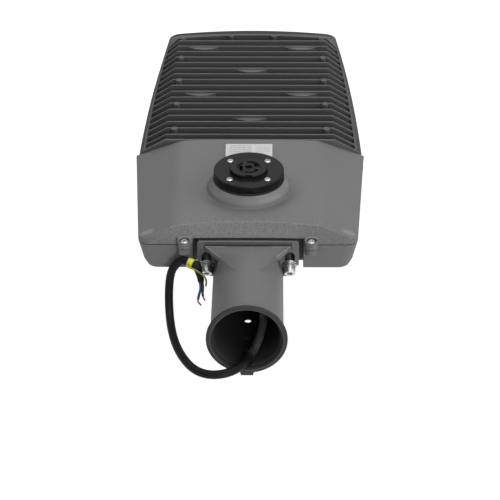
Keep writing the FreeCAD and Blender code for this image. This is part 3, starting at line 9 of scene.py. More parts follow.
import bmesh
import bpy
from mathutils import Matrix, Vector


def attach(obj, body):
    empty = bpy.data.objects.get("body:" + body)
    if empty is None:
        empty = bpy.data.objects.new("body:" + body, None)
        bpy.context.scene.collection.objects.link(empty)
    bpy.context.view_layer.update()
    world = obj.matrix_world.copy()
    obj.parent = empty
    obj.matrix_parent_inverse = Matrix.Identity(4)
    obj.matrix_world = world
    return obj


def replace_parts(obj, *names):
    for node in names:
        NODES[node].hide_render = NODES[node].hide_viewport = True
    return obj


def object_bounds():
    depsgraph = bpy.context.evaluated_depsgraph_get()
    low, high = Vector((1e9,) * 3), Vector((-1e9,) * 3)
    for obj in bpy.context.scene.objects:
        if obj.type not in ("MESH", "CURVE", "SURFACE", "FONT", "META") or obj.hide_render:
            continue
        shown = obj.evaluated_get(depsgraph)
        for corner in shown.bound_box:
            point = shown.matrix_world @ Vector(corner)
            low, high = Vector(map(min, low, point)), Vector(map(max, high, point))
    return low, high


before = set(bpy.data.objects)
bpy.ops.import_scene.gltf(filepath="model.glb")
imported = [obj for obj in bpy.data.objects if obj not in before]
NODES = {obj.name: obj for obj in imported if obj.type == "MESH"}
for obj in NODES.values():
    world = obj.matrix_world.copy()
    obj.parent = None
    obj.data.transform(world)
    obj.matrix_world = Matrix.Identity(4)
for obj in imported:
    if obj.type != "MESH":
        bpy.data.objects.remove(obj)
CAD_BOX = [list(corner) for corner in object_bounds()]

bl_info = {
    "name": "Street Light Head",
    "version": (1, 0, 0),
    "blender": (4, 5, 0),
    "location": "3D View > Sidebar > Street Light",
    "description": "Finishes, fasteners, lenses and cable of a pole-mounted LED light head",
    "category": "Add Mesh",
}

MM = 0.001
UP, DOWN, FORWARD = Vector((0, 0, 1)), Vector((0, 0, -1)), Vector((0, 1, 0))

# The photograph's camera, behind the clamp tube and 33 degrees above it: width of the picture and focal length in
# pixels, sensor in millimetres, place in metres and angles in degrees
PHOTO_WIDTH, FOCAL_LENGTH, SENSOR = 500, 1761.5, 36
CAMERA_PLACE = (0.02344, -1.35344, 0.9779)
CAMERA_PITCH, CAMERA_YAW, CAMERA_ROLL = 32.902, -0.840, -0.320


def in_metres(*points):
    return [[value * MM for value in point] for point in points]


# Route points of the cable and its cores, in millimetres, the same as in the part's source
CABLE_ROUTE = in_metres(
    (0, 107, 19.5), (0, 97, 19), (1.5, 90, 15.5), (4.5, 83.5, 9), (8.8, 77, 1), (13, 70, -7),
    (15.6, 61.5, -14.5), (14.8, 51.5, -20.4), (12.2, 40.5, -23.3), (9.3, 30, -25), (6.2, 20, -26),
    (1.8, 9.5, -26.6), (-3.2, -1.2, -27), (-10.8, -9.6, -27.6), (-21.2, -14.6, -28.6), (-32.6, -14.8, -29.8),
    (-43.4, -10.6, -30.6), (-52, -2.4, -31), (-58.6, 8.2, -31.2), (-64.6, 21, -31.2), (-69.6, 36, -31.4),
    (-73.4, 52, -31.2), (-76.2, 68, -30), (-78, 82, -26.2), (-78.9, 92.5, -19), (-78.9, 99, -9.4),
    (-78, 102.4, 1.2), (-75.8, 103.6, 11), (-71.2, 103.9, 18), (-66.4, 103.3, 22.6), (-62.4, 101.7, 24),
    (-59, 100.2, 23.3))
BUNDLE_ROUTE = in_metres(
    (-53.6, 97.62, 22.18), (-51.5, 96.69, 21.76), (-49.6, 95.6, 19.5), (-48.6, 95.2, 14.3), (-47.1, 94.6, 9),
    (-46.5, 94.3, 4.2))
BLUE_ROUTE = in_metres(
    (-47.7, 94.5, 3.8), (-46.9, 94.6, -1.8), (-47.4, 94.8, -7.9), (-48.85, 95, -12.4), (-49.85, 95, -17.7))
BLUE_TIP = in_metres(
    (-49.85, 95, -17.7), (-50.25, 95, -19.82), (-49.2, 95, -22.6), (-46.8, 95, -25.5))
BROWN_ROUTE = in_metres(
    (-45.1, 94.4, 3.8), (-44.6, 94.5, -1.7), (-44.9, 94.8, -6.7), (-45.3, 95, -11), (-44.9, 95.1, -14.2))
BROWN_TIP = in_metres(
    (-44.9, 95.1, -14.2), (-44.6, 95.18, -16.6), (-42.9, 95.2, -19.4))
EARTH_ROUTE = in_metres(
    (-61.1, 94.9, 22.5), (-56.6, 92.3, 21), (-52.7, 91.6, 20.1), (-48.3, 90.4, 17.8), (-42.5, 89.7, 12.6),
    (-40.65, 89.3, 7.3), (-41.6, 89.6, 1.7))

# Tape, strands, the bundle's fullness at its first points, and each core's name, route, node, slot, share of the
# core diameter, colour and second colour
TAPE_RADIUS, TAPE_WIDTH = 0.0045, 0.006
STRANDS_RADIUS, STRAND_COUNT, STRAND_TURN, STRAND_FAN = 0.00085, 7, 1.6, 0.25
BUNDLE_SWELL = (1.38, 1.62, 1.36, 1.1)
CORES = (
    ("blue_lead", BLUE_ROUTE, "blue_core", "core_blue", 1, (0.02, 0.1, 0.27), None),
    ("brown_lead", BROWN_ROUTE, "brown_core", "core_brown", 0.9, (0.022, 0.017, 0.014), None),
    ("earth_lead", EARTH_ROUTE, "earth_core", "core_yellow", 0.7, (0.36, 0.35, 0.05), (0.12, 0.16, 0.04)),
)

# Receptacle: axis, outline from the foot to the hub as radius and height in millimetres, slots as angles with the
# stretch in which each is wide, and notches as half width, start, end, bottom and top
RECEPTACLE_AXIS = Vector((0, 0.19, 0))
RECEPTACLE_PROFILE = (
    (21, 54.5), (21, 68.5), (35.4, 68.5), (35.7, 68.8), (35.7, 71.9), (35.4, 72.2), (34.5, 72.2), (34.5, 73),
    (35.4, 73), (35.7, 73.3), (35.7, 75.8), (35.5, 76.2), (35, 76.45), (34.4, 76.5), (32, 76.45), (20, 75.5),
    (19.2, 75.4), (19, 75.6), (19, 78.9), (18.8, 79.3), (18.4, 79.5), (12.6, 79.5), (12.3, 79.2), (6.2, 79.2),
    (5.9, 79.5), (3.8, 79.5), (3.5, 79.2), (3.5, 77))
RECEPTACLE_TOP = 0.081
CONTACT_SLOTS = ((125, 235, 158, 214), (5, 100, 10, 52), (-112, -28, -40, -28))
SLOT_OUTSIDE, SLOT_INSIDE, SLOT_WIDE_INSIDE, SLOT_FLOOR = 0.0115, 0.0089, 0.0064, 0.0705
NOTCHES = ((0.004, -0.021, -0.0164, 0.0753, RECEPTACLE_TOP), (0.0046, -0.038, -0.0341, 0.068, 0.0722))
# Its screw wells: places across and along, and outline as radius and height
WELL_ACROSS, WELL_ALONG = 0.0191, 0.0186
WELL_PROFILE = ((0.0021, 0.06), (0.0021, 0.0753), (0.0041, 0.0753), (0.0043, RECEPTACLE_TOP))

# Screws: node, direction into the work, radii of shank and head, height of the head and depth of the recess in
# millimetres, turn of the first one and from each to the next in radians
SCREWS = (
    ("cover_screws", DOWN, 2.45, 4.6, 2.8, 1.6, 0.4, 1.1),
    ("receptacle_screws", DOWN, 1.9, 3.6, 1.6, 1.6, 0.4, 1.1),
    ("driver_screws", DOWN, 1.9, 3.6, 2, 1.6, 0.4, 1.1),
    ("lens_screws", UP, 1.7, 3.4, 2, 1.4, 0, 0.7),
    ("joining_screws", FORWARD, 2.4, 4.5, 4, 2, 0, 0.8),
)

# Adaptor bolts: seats, direction from head to tip, and sizes with their washers
BOLT_SEATS = (Vector((-0.0414, 0.11635, 0.0112)), Vector((0.0414, 0.11635, 0.0112)))
BOLT_AXIS = Vector((0, math.cos(math.radians(33)), math.sin(math.radians(33))))
BOLT_SHANK, BOLT_REACH, BOLT_HEAD, BOLT_HEAD_HEIGHT = 0.0039, 0.0277, 0.0059, 0.008
BOLT_SOCKET, BOLT_SOCKET_DEPTH, BOLT_FLUTES, BOLT_TURN = 0.0031, 0.0045, 30, 0.26
WASHER_HOLE, WASHER_RADIUS, WASHER_THICK = 0.0042, 0.0083, 0.0016
SPRING_RADIUS, SPRING_THICK, SPRING_GAP = 0.0073, 0.0021, 0.002

# Zones that the finishes follow, in metres: a pair is a soft border, 0 up to its first value and 1 past its second
# Clamp tube, whose bore, lip face and screw holes get painted shade and whose lip edge gets a painted highlight ring:
# distances from its axis
BORE_WALL, TUBE_WALL, LEAD_IN_WALL = (0.0331, 0.0339), (0.0341, 0.0347), (0.0346, 0.0352)
HIGHLIGHT_RING_INSIDE, HIGHLIGHT_RING_OUTSIDE, THREAD_WALL = (0.0347, 0.0351), (0.0353, 0.0357), 0.0426
# Clamp tube: depths from its mouth, then heights and places across it; near the mouth's lower part painted light
# lessens the shade
LEAD_IN, LIP_FACE, MOUTH_LIGHT, THREAD_START = (0.0004, 0.0024), (0.003, 0.0048), (0.004, 0.04), 0.02
MOUTH_LIGHT_TOP, THREAD_TOP, THREAD_SIDE = 0.006, -0.031, (0.0044, 0.005)
# Neck and shelf over the tube: depths, then heights and places across; the shelf's raised rim gets a painted
# highlight
FLOW_START, FLOW_FADE, SHELF_START, FLOW_END = (0.05, 0.058), (0.086, 0.108), (0.0895, 0.0905), 0.1102
SHELF_RIM_START, SHELF_RIM_END = (0.0885, 0.0895), 0.1103
UPPER_SIDE, SHELF_RIM_FOOT, SHELF_RIM_TOP, BESIDE_TUBE = (0, 0.006), (0.03485, 0.0351), 0.0358, (0.019, 0.026)
# Heat sink: middles, size and top of the pads between the fins, with a painted highlight; the rim's side, which draws
# in by a share of y, its top and where its tip begins, with painted shade on the rim
PAD_MIDDLES = ((-0.057, 0.511), (0.057, 0.511), (0, 0.4543), (-0.057, 0.3977), (0.057, 0.3977), (0, 0.3412))
PAD_HALVES, PAD_TOP = (0.021, 0.0065), (0.047, 0.05)
SINK_SIDE, SINK_SIDE_TAPER, SINK_RIM_TOP, SINK_TIP = 0.1235, 0.045, 0.0412, 0.555
# Lid: blunt rear corners with a painted highlight, a middle with painted shade, rear slope; wall, foot, fillet
# with painted shade, and front of its round boss
LID_CORNER, LID_CORNER_HALVES = (0.1, 0.1215), (0.0095, 0.0055)
SHADED_MIDDLE, SHADED_HALVES, REAR_SLOPE = (-0.004, 0.186), (0.088, 0.07), (0.124, 0.144)
BOSS_WALL, BOSS_FOOT, BOSS_FILLET, BOSS_FRONT = (0.04, 0.0415), (0.0405, 0.0435), (0.044, 0.058), (-0.03, 0.01)
# Plate: pitch of its rows, their start and end, half their length and the gap between their two fields
ROW_PITCH, ROWS_START, ROWS_END, ROWS_HALF, ROWS_GAP = 0.0043, 0.256, 0.2735, 0.0215, (0.002, 0.006)
# Cable: where inside the tube it gets painted light, by depth and by distance from the tube's axis
TUBE_LIGHT_START, TUBE_LIGHT_END, TUBE_LIGHT_WALL = (0.004, 0.024), (0.055, 0.072), (0.031, 0.033)

# Colours of the small pieces
SHEATH_COLOUR, INNER_SHEATH_COLOUR, TAPE_COLOUR = (0.008, 0.008, 0.0084), (0.014, 0.014, 0.015), (0.62, 0.6, 0.06)
SEAL_COLOUR, GLAND_COLOUR = (0.012, 0.012, 0.012), (0.012, 0.012, 0.013)
CASE_COLOUR, TERMINAL_COLOUR = (0.55, 0.55, 0.56), (0.7, 0.7, 0.67)

# Stage: half the floor's width, its cells, and each lamp's name, power property, share of it, diameter, place and aim
FLOOR_HALF, FLOOR_CELLS = 6, 24
LAMPS = (
    ("key", "key", 1, 1.0, (0.2, 0.2, 1.6), (0, 0.25, 0)),
    ("fill", "fill", 1, 1.0, (0.6, -1.7, 0.85), (0, 0.2, 0.02)),
    ("side", "side", 1, 0.8, (1.5, 0.1, 0.7), (0, 0.25, 0.03)),
    ("far_side", "side", 0.5, 0.8, (-0.9, 0.4, 1.3), (0, 0.25, 0.03)),
    ("front", "front", 1, 0.3, (0.42, -1.25, 0.1), (0.01, 0.05, -0.02)),
    ("back", "back", 1, 1.0, (-0.1, 2.1, 1.35), (0, 0.25, 0.05)),
)


# Sizes and colours that a user would change
def length(name, description, default, low, high):
    return bpy.props.FloatProperty(name=name, description=description, default=default, min=low, max=high,
                                   unit="LENGTH")


def colour(name, description, default):
    return bpy.props.FloatVectorProperty(name=name, description=description, default=default, size=3,
                                         min=0, max=1, subtype="COLOR")


def power(name, description, default):
    return bpy.props.FloatProperty(name=name, description=description, default=default, min=0, max=200,
                                   unit="POWER")


class LightHeadCable(bpy.types.PropertyGroup):
    """The mains cable that comes out of the clamp tube."""
    diameter: length("Cable Diameter", "Outside diameter of the cable's sheath", 0.0084, 0.004, 0.014)
    bundle_diameter: length("Bundle Diameter", "Outside diameter of the inner bundle past the sheath's end",
                            0.0066, 0.003, 0.01)
    core_diameter: length("Core Diameter", "Diameter of one insulated core", 0.0027, 0.001, 0.004)
    strand_diameter: length("Strand Diameter", "Diameter of one bare copper strand", 0.0005, 0.0001, 0.001)


class LightHeadFinish(bpy.types.PropertyGroup):
    """Colours and texture sizes of the finishes."""
    casting_colour: colour("Casting Colour", "Powder coat on the tray, the lid and the pole adaptor",
                           (0.138, 0.139, 0.14))
    sink_colour: colour("Heat Sink Colour", "Powder coat on the finned housing", (0.077, 0.078, 0.08))
    plastic_colour: colour("Receptacle Colour", "Moulded plastic of the photocell receptacle",
                           (0.006, 0.006, 0.0064))
    grain: length("Coat Grain", "Size of one grain of the powder coat", 0.0005, 0.0001, 0.003)
    edge_radius: length("Casting Edge Radius", "Rounding that the light sees on a casting's edges",
                        0.0012, 0, 0.005)


class LightHeadStage(bpy.types.PropertyGroup):
    """Floor and lamps."""
    floor_drop: length("Floor Drop", "Distance of the floor below the lowest point", 0.14, 0, 0.5)
    sky: bpy.props.FloatProperty(
        name="Sky Strength", description="Even light from all round", default=0.34, min=0, max=2)
    key: power("Key Power", "Large soft lamp above the head", 14.5)
    fill: power("Fill Power", "Soft lamp behind the camera", 12)
    side: power("Side Power", "Soft lamp on the right", 7)
    front: power("Front Power", "Small low lamp that looks into the tube", 4.5)
    back: power("Back Power", "Soft lamp beyond the tip that gives flat tops their sheen", 3.5)


# Shader building
class Link:
    """A shader output that can stand in sums: each operation adds one Math node."""

    def __init__(self, finish, socket):
        self.finish, self.socket = finish, socket

    def reckon(self, operation, *others):
        return self.finish.node("Math", {"operation": operation}, dict(enumerate((self, *others))))

    __add__ = __radd__ = partialmethod(reckon, "ADD")
    __mul__ = partialmethod(reckon, "MULTIPLY")
    __sub__ = partialmethod(reckon, "SUBTRACT")
    __truediv__ = partialmethod(reckon, "DIVIDE")
    __pow__ = partialmethod(reckon, "POWER")
    __gt__ = partialmethod(reckon, "GREATER_THAN")
    __lt__ = partialmethod(reckon, "LESS_THAN")
    __abs__ = partialmethod(reckon, "ABSOLUTE")

    def __rsub__(self, other):
        return self.finish.node("Math", {"operation": "SUBTRACT"}, {0: other, 1: self})

    def kept(self):
        """The value held between 0 and 1."""
        return self.reckon("MAXIMUM", 0).reckon("MINIMUM", 1)

    def between(self, low, high):
        """0 below low, 1 above high and a smooth step from one to the other."""
        return self.finish.node("MapRange", {"interpolation_type": "SMOOTHSTEP"},
                                {"Value": self, "From Min": low, "From Max": high})

    def striped(self, pitch, half):
        """1 on stripes that repeat at a pitch and reach a share of it to each side, 0 between them."""
        return abs((self * (1 / pitch)).reckon("FRACT") - 0.5) < half


def distance(first, second):
    """Distance from an axis, worked out from the two places across it."""
    return (first * first + second * second) ** 0.5


class Finish:
    """One material, or the world, and the nodes in it."""

    def __init__(self, name, kind="materials"):
        self.made = getattr(bpy.data, kind).new(name)
        self.made.use_nodes = True
        self.tree = self.made.node_tree
        self.tree.nodes.clear()

    def node(self, kind, settings=None, sockets=None, out=0):
        """Add a node: its settings first, then the values or links of its sockets."""
        made = self.tree.nodes.new(f"ShaderNode{kind}")
        for key, value in (settings or {}).items():
            setattr(made, key, value)
        for key, value in (sockets or {}).items():
            if isinstance(value, Link):
                self.tree.links.new(value.socket, made.inputs[key])
            else:
                made.inputs[key].default_value = value
        return Link(self, made.outputs[out]) if made.outputs else None

    def place(self):
        """Position in the object, in metres."""
        return self.node("TexCoord", out="Object")

    def split(self, vector):
        """The three values of a vector."""
        return [Link(self, output) for output in self.node("SeparateXYZ", sockets={0: vector}).socket.node.outputs]

    def axes(self):
        """Position in the object as three values."""
        return self.split(self.place())

    def facing(self):
        """Direction of the surface as three values."""
        return self.split(self.node("NewGeometry", out="Normal"))

    def noise(self, size, detail=2.0, roughness=0.5, stretch=None):
        """Soft noise with features of a size in metres."""
        where = self.place()
        if stretch:
            where = self.node("Mapping", sockets={"Vector": where, "Scale": stretch})
        return self.node("TexNoise", sockets={"Vector": where, "Scale": 1 / size, "Detail": detail,
                                              "Roughness": roughness})

    def crevice(self, width):
        """1 deep in corners and grooves up to a width, 0 on open faces."""
        return 1 - self.node("AmbientOcclusion", {"samples": 8}, {"Distance": width}, out="AO")

    def spot(self, x, y, middle, halves, soft):
        """1 in the middle of an ellipse seen from above and 0 outside it, with a soft share of its radius."""
        return 1 - distance((x - middle[0]) / halves[0], (y - middle[1]) / halves[1]).between(1 - soft, 1)

    def blended(self, share, first, second):
        """One direction turned into another."""
        return self.node("Mix", {"data_type": "VECTOR"}, {0: share, 4: first, 5: second}, out=1)

    def mixed(self, share, first, second, blend="MIX"):
        """One colour mixed with another, each a link or three values."""
        first, second = [value if isinstance(value, Link) else (*value, 1) for value in (first, second)]
        return self.node("Mix", {"data_type": "RGBA", "blend_type": blend}, {0: share, 6: first, 7: second}, out=2)

    def shaded(self, colour, amount):
        """A colour made darker or lighter by a value about 1."""
        grey = self.node("CombineColor", sockets={0: amount, 1: amount, 2: amount})
        return self.mixed(1.0, colour, grey, "MULTIPLY")

    def round_edges(self, radius):
        """Surface direction with edges that look rounded."""
        return self.node("Bevel", {"samples": 6}, {"Radius": radius})

    def edge_mask(self, rounded):
        """Above 0 where the rounded direction leaves the flat one, which is along the edges."""
        flat = self.node("NewGeometry", out="Normal")
        return 1 - self.node("VectorMath", {"operation": "DOT_PRODUCT"}, {0: rounded, 1: flat}, out="Value")

    def surface(self, colour, rough, relief, depth, rounded=None, **others):
        """The shader and its output, with relief of a depth in metres; names of other sockets have underscores."""
        bump = {"Height": relief, "Distance": depth, "Strength": 1.0}
        if rounded:
            bump["Normal"] = rounded
        sockets = {"Base Color": colour, "Roughness": rough.kept(), "Normal": self.node("Bump", sockets=bump)}
        sockets.update({name.replace("_", " "): value for name, value in others.items()})
        self.node("OutputMaterial", sockets={"Surface": self.node("BsdfPrincipled", sockets=sockets)})
        return self.made


# Finishes
def painted_bore_shade(finish):
    """Painted shade in the clamp tube, on the lip's face and in the screw holes; painted light lessens it near the
    mouth, in the lead-in and on a ring.
    """
    x, y, z = finish.axes()
    reach = distance(x, z)
    inside = 1 - reach.between(*BORE_WALL)
    ring = reach.between(*HIGHLIGHT_RING_INSIDE) * (1 - reach.between(*HIGHLIGHT_RING_OUTSIDE))
    face = (1 - y.between(*LIP_FACE)) * (1 - ring * 0.5)
    lead_in = (1 - y.between(*LEAD_IN)) * (1 - reach.between(*LEAD_IN_WALL))
    hole_shade = ((1 - abs(x).between(*THREAD_SIDE)) * (z < THREAD_TOP) * (y > THREAD_START)
               * (reach < THREAD_WALL))
    mouth_light = (1 - y.between(*MOUTH_LIGHT)) * (z < MOUTH_LIGHT_TOP) * 0.25
    return inside * (1 - mouth_light) * (1 - lead_in * 0.5) + face * 0.9 + hole_shade * 2


def tube_flow(finish, rounded):
    """Surface direction that carries the tube's roundness up over the neck, as a casting's wide fillet does."""
    x, y, z = finish.axes()
    radial = finish.node("VectorMath", {"operation": "NORMALIZE"},
                         {0: finish.node("CombineXYZ", sockets={0: x, 1: 0.0, 2: z})})
    level = finish.facing()[2].between(0.9, 0.96)
    fade = 1 - y.between(*FLOW_FADE) * 0.8
    above = distance(x, z).between(*TUBE_WALL) * z.between(*UPPER_SIDE)
    beside_shelf = 1 - y.between(*SHELF_START) * (1 - level)
    share = y.between(*FLOW_START) * fade * above * beside_shelf * (y < FLOW_END)
    return finish.blended(share, rounded, radial)


def pad_highlight(finish):
    """Painted highlight of 1 on the pads between the fins."""
    x, y, z = finish.axes()
    return sum(finish.spot(x, y, middle, PAD_HALVES, 0.9) for middle in PAD_MIDDLES) * z.between(*PAD_TOP)


def sink_rim_shade(finish):
    """1 on the slanting outside of the heat sink's rim, which gets painted shade and a rougher coat."""
    x, y, z = finish.axes()
    across, along, _ = finish.facing()
    side = (abs(across).between(0.3, 0.5) * (abs(x) + y * SINK_SIDE_TAPER > SINK_SIDE)
            * (z < SINK_RIM_TOP))
    return (side + (y > SINK_TIP) * along.between(0.12, 0.25)).kept()


def lid_light_and_shade(finish):
    """Painted highlights of 1 on the lid's blunt rear corners, reflection streaks on the boss, painted shade below 0
    in its fillet and middle.
    """
    x, y, _ = finish.axes()
    corners = finish.spot(abs(x), y, LID_CORNER, LID_CORNER_HALVES, 0.6)
    off = y - RECEPTACLE_AXIS.y
    reach = distance(x, off)
    fillet = (reach.between(*BOSS_FOOT) * (1 - reach.between(*BOSS_FILLET))
              * (1 - off.between(*BOSS_FRONT)))
    # Painted shade over a broad middle of the lid.
    dull = finish.spot(x, y, SHADED_MIDDLE, SHADED_HALVES, 0.9)
    reflection_streaks = (1 - reach.between(*BOSS_WALL)) * (0.3 + finish.noise(0.018, 0.0).between(0.4, 0.6) * 0.45)
    return corners + reflection_streaks - fillet * 0.5 - dull * 0.2


def shelf_rim_highlight(finish):
    """Painted highlight of 1 on the raised rim of the shelf, except where it runs over the tube."""
    x, y, z = finish.axes()
    rim = z.between(*SHELF_RIM_FOOT) * (z < SHELF_RIM_TOP)
    return rim * y.between(*SHELF_RIM_START) * (y < SHELF_RIM_END) * abs(x).between(*BESIDE_TUBE)


def lid_coarse(finish):
    """1 on the lid's rear slope, where the coat lies thicker."""
    return 1 - finish.axes()[1].between(*REAR_SLOPE)


def powder_coat(name, colour, grain, edge_radius, lift=0.5, sheen=0.52, shade_reach=0.012, bends=(0.01, 0.2),
                bare=None, flow=None, painted_light_and_shade=None, coarse=None, rim=None):
    """Fine textured powder coat over a die casting: grain, faint mottling, lighter along the edges as wear and
    painted highlight, painted shade in corners.

    Lift lightens the edges, bends says from what turn on; shade_reach is how far the painted shade reaches out of a
    corner. The rest are zones: painted shade in the bore, the neck's direction, painted light and shade, coarser
    grain and painted shade on the rim.
    """
    finish = Finish(name)
    grains = finish.noise(grain, 3.0, 0.6)
    orange_peel = finish.noise(grain * 5)
    speckle = finish.noise(grain * 2.4, 2.0, 0.8)
    clouds = finish.noise(0.045, 3.0, 0.55)
    dust_and_painted_light = finish.noise(0.006, 4.0, 0.7).between(0.62, 0.8)
    rounded = finish.round_edges(edge_radius)
    edge = finish.edge_mask(rounded).between(*bends)
    spread = 0.3 + coarse(finish) * 1.8 if coarse else 0.36
    # Lighter along the edges by lift, partly wear and partly painted highlight.
    tone = 0.9 + grains * 0.12 + (speckle - 0.5) * spread + clouds * 0.12 + edge * lift * 0.5 + dust_and_painted_light * 0.04
    # Painted shade: darker in corners and grooves.
    tone = tone - finish.crevice(shade_reach) * 0.34
    # Painted highlights, and painted shade where a zone goes below 0.
    if painted_light_and_shade:
        tone = tone + painted_light_and_shade(finish) * 0.5
    if flow:
        rounded = flow(finish, rounded)
    height = grains * 0.4 + speckle * 0.4 + orange_peel * 0.3
    rough = sheen + grains * 0.12 - edge * 0.08 + clouds * 0.05
    # Painted shade on the heat sink's rim, with a rougher coat.
    if rim:
        outer = rim(finish)
        tone, rough = tone * (1 - outer * 0.55), rough + outer * 0.45
    coat = finish.shaded(colour, tone)
    # Painted shade in the clamp tube's bore: the coat mixed toward near-black.
    if bare:
        bore_shade_colour, dark = (0.013, 0.012, 0.011), bare(finish)
        coat = finish.mixed(dark, coat, finish.shaded(bore_shade_colour, 0.7 + clouds * 0.6))
        rough = rough + dark * 0.2
    return finish.surface(coat, rough, height, 0.00012, rounded)


def moulded_plastic(name, colour, sheen=0.3, gloss=0.5):
    """Moulded plastic: fine spark grain, faint flow marks, and edges mixed toward a grey: a painted highlight on
    black mouldings, darker edges on pale ones.
    """
    finish = Finish(name)
    grains = finish.noise(0.0004)
    flow = finish.noise(0.012, 3.0, stretch=(1, 1, 3))
    rounded = finish.round_edges(0.0004)
    # Edges mixed toward a fixed grey: painted highlight on black plastic.
    edge_highlight, edge = (0.06, 0.06, 0.062), finish.edge_mask(rounded).between(0.01, 0.25)
    tone = finish.shaded(finish.mixed(edge * 0.7, colour, edge_highlight), 0.85 + flow * 0.3)
    return finish.surface(tone, sheen + grains * 0.1 + flow * 0.08, grains, 0.00003, rounded,
                          Specular_IOR_Level=gloss)


def rubber_seal(name, colour):
    """Matt silicone: bloom in clouds and a fine skin."""
    finish = Finish(name)
    bloom = finish.noise(0.008, 4.0, 0.6)
    skin = finish.noise(0.0006)
    return finish.surface(finish.shaded(colour, 0.8 + bloom * 0.5), 0.7 + bloom * 0.2, skin, 0.00003)


def turned_steel(name):
    """Stainless steel with fine turning marks and small stains."""
    finish = Finish(name)
    marks = finish.noise(0.00025, stretch=(1, 1, 4))
    stains = finish.noise(0.003, 4.0, 0.6)
    tone = finish.shaded((0.6, 0.6, 0.59), 0.9 + stains * 0.16)
    return finish.surface(tone, 0.36 + marks * 0.1 + stains * 0.06, marks, 0.00001, finish.round_edges(0.0003),
                          Metallic=1.0)


def stamped_brass(name):
    """Brass of the contacts, coloured almost black as painted shade deep in the slots, with darker patches."""
    finish = Finish(name)
    tarnish = finish.noise(0.003, 4.0, 0.6)
    drawn = finish.noise(0.0002, stretch=(1, 1, 0.1))
    tone = finish.mixed(tarnish, (0.026, 0.021, 0.014), (0.008, 0.007, 0.006))
    return finish.surface(tone, 0.32 + tarnish * 0.25, drawn, 0.00001, Metallic=1.0)


def film_plate(name):
    """Pale film plate, left blank: faint ruled fields and a dull, scuffed face."""
    finish = Finish(name)
    x, y, _ = finish.axes()
    scuffs = finish.noise(0.0018, 4.0, 0.65)
    broken = finish.noise(0.0014, 1.0, stretch=(1, 3, 1)) > 0.44
    fields = (x < ROWS_GAP[0]) + (x > ROWS_GAP[1]) * 0.7
    inside = (y < ROWS_END) * (y > ROWS_START) * (abs(x) < ROWS_HALF)
    rows = y.striped(ROW_PITCH, 0.17) * broken * fields * inside
    paper = finish.mixed(rows * 0.75, (0.54, 0.54, 0.53), (0.12, 0.12, 0.12))
    return finish.surface(finish.shaded(paper, 0.88 + scuffs * 0.24), 0.42 + scuffs * 0.25, scuffs, 0.00002)


def satin_case(name, colour):
    """Bead-blasted aluminium case."""
    finish = Finish(name)
    blast = finish.noise(0.0003)
    handling = finish.noise(0.02, 4.0, 0.6)
    return finish.surface(finish.shaded(colour, 0.85 + handling * 0.3), 0.34 + handling * 0.2, blast, 0.00002,
                          finish.round_edges(0.0006), Metallic=0.85)


def solder_mask(name):
    """White solder mask with copper tracks showing faintly through it."""
    finish = Finish(name)
    tracks = finish.axes()[0].striped(0.02, 0.33)
    weave = finish.noise(0.0008)
    tone = finish.mixed(tracks * 0.25, (0.82, 0.82, 0.8), (0.68, 0.68, 0.62))
    return finish.surface(finish.shaded(tone, 0.94 + weave * 0.12), 0.25 + weave * 0.15,
                          tracks * 0.6 + weave * 0.1, 0.00003)


def phosphor(name):
    """Yellow phosphor."""
    finish = Finish(name)
    speckle = finish.noise(0.0004, 3.0)
    tone = finish.mixed(speckle, (0.8, 0.56, 0.09), (0.86, 0.68, 0.2))
    return finish.surface(tone, 0.3 + speckle * 0.2, speckle, 0.00002)


def clear_moulding(name):
    """Clear polycarbonate with faint moulding ripples."""
    finish = Finish(name)
    ripple = finish.noise(0.01)
    haze = finish.noise(0.03, 3.0)
    tone = finish.shaded((0.95, 0.97, 0.97), 0.96 + haze * 0.06)
    return finish.surface(tone, 0.04 + haze * 0.06, ripple, 0.00006, Transmission_Weight=0.94, IOR=1.58)


def cable_sheath(name, colour):
    """Black sheath: smooth extruded skin, scuffed in places, much lighter inside the tube as painted light, with
    faint lay of the cores.
    """
    finish = Finish(name)
    skin = finish.noise(0.0009, 3.0)
    scuff = finish.noise(0.01, 5.0, 0.7).between(0.5, 0.75)
    lay = finish.noise(0.02)
    x, y, z = finish.axes()
    stretch = y.between(*TUBE_LIGHT_START) * (1 - y.between(*TUBE_LIGHT_END))
    # Painted light on the sheath inside the tube.
    dust_and_painted_light = stretch * (1 - distance(x, z).between(*TUBE_LIGHT_WALL))
    tone = finish.shaded(colour, 0.8 + lay * 0.3 + scuff * 0.6 + dust_and_painted_light * (8 + scuff * 16))
    return finish.surface(tone, 0.46 + scuff * 0.2 + skin * 0.08, skin + lay * 2, 0.00005,
                          Specular_IOR_Level=0.13)


def core_insulation(name, colour, stripe):
    """Insulation of one core, with a second colour down one side if it has one."""
    finish = Finish(name)
    skin = finish.noise(0.0012, 3.0)
    tone = finish.shaded(colour, 0.8 + skin * 0.4)
    if stripe:
        tone = finish.mixed((finish.facing()[0] + skin * 0.4).between(0.35, 0.45), tone, stripe)
    return finish.surface(tone, 0.45 + skin * 0.15, skin, 0.00002, Specular_IOR_Level=0.35)


def wound_tape(name, colour):
    """Tape wound round the sheath's end: small creases and grime."""
    finish = Finish(name)
    creases = finish.noise(0.0015, 4.0, 0.7)
    grime = finish.noise(0.004, 3.0).between(0.45, 0.75)
    tone = finish.shaded(finish.mixed(grime * 0.4, colour, (0.28, 0.27, 0.05)), 0.85 + creases * 0.3)
    return finish.surface(tone, 0.36 + creases * 0.25, creases, 0.00018)


def bare_copper(name):
    """Bare copper, dull in patches."""
    finish = Finish(name)
    dull = finish.noise(0.0008, 3.0)
    tone = finish.mixed(dull.between(0.35, 0.65), (0.42, 0.18, 0.09), (0.04, 0.028, 0.022))
    return finish.surface(tone, 0.3 + dull * 0.3, dull, 0.00002, Metallic=1.0)


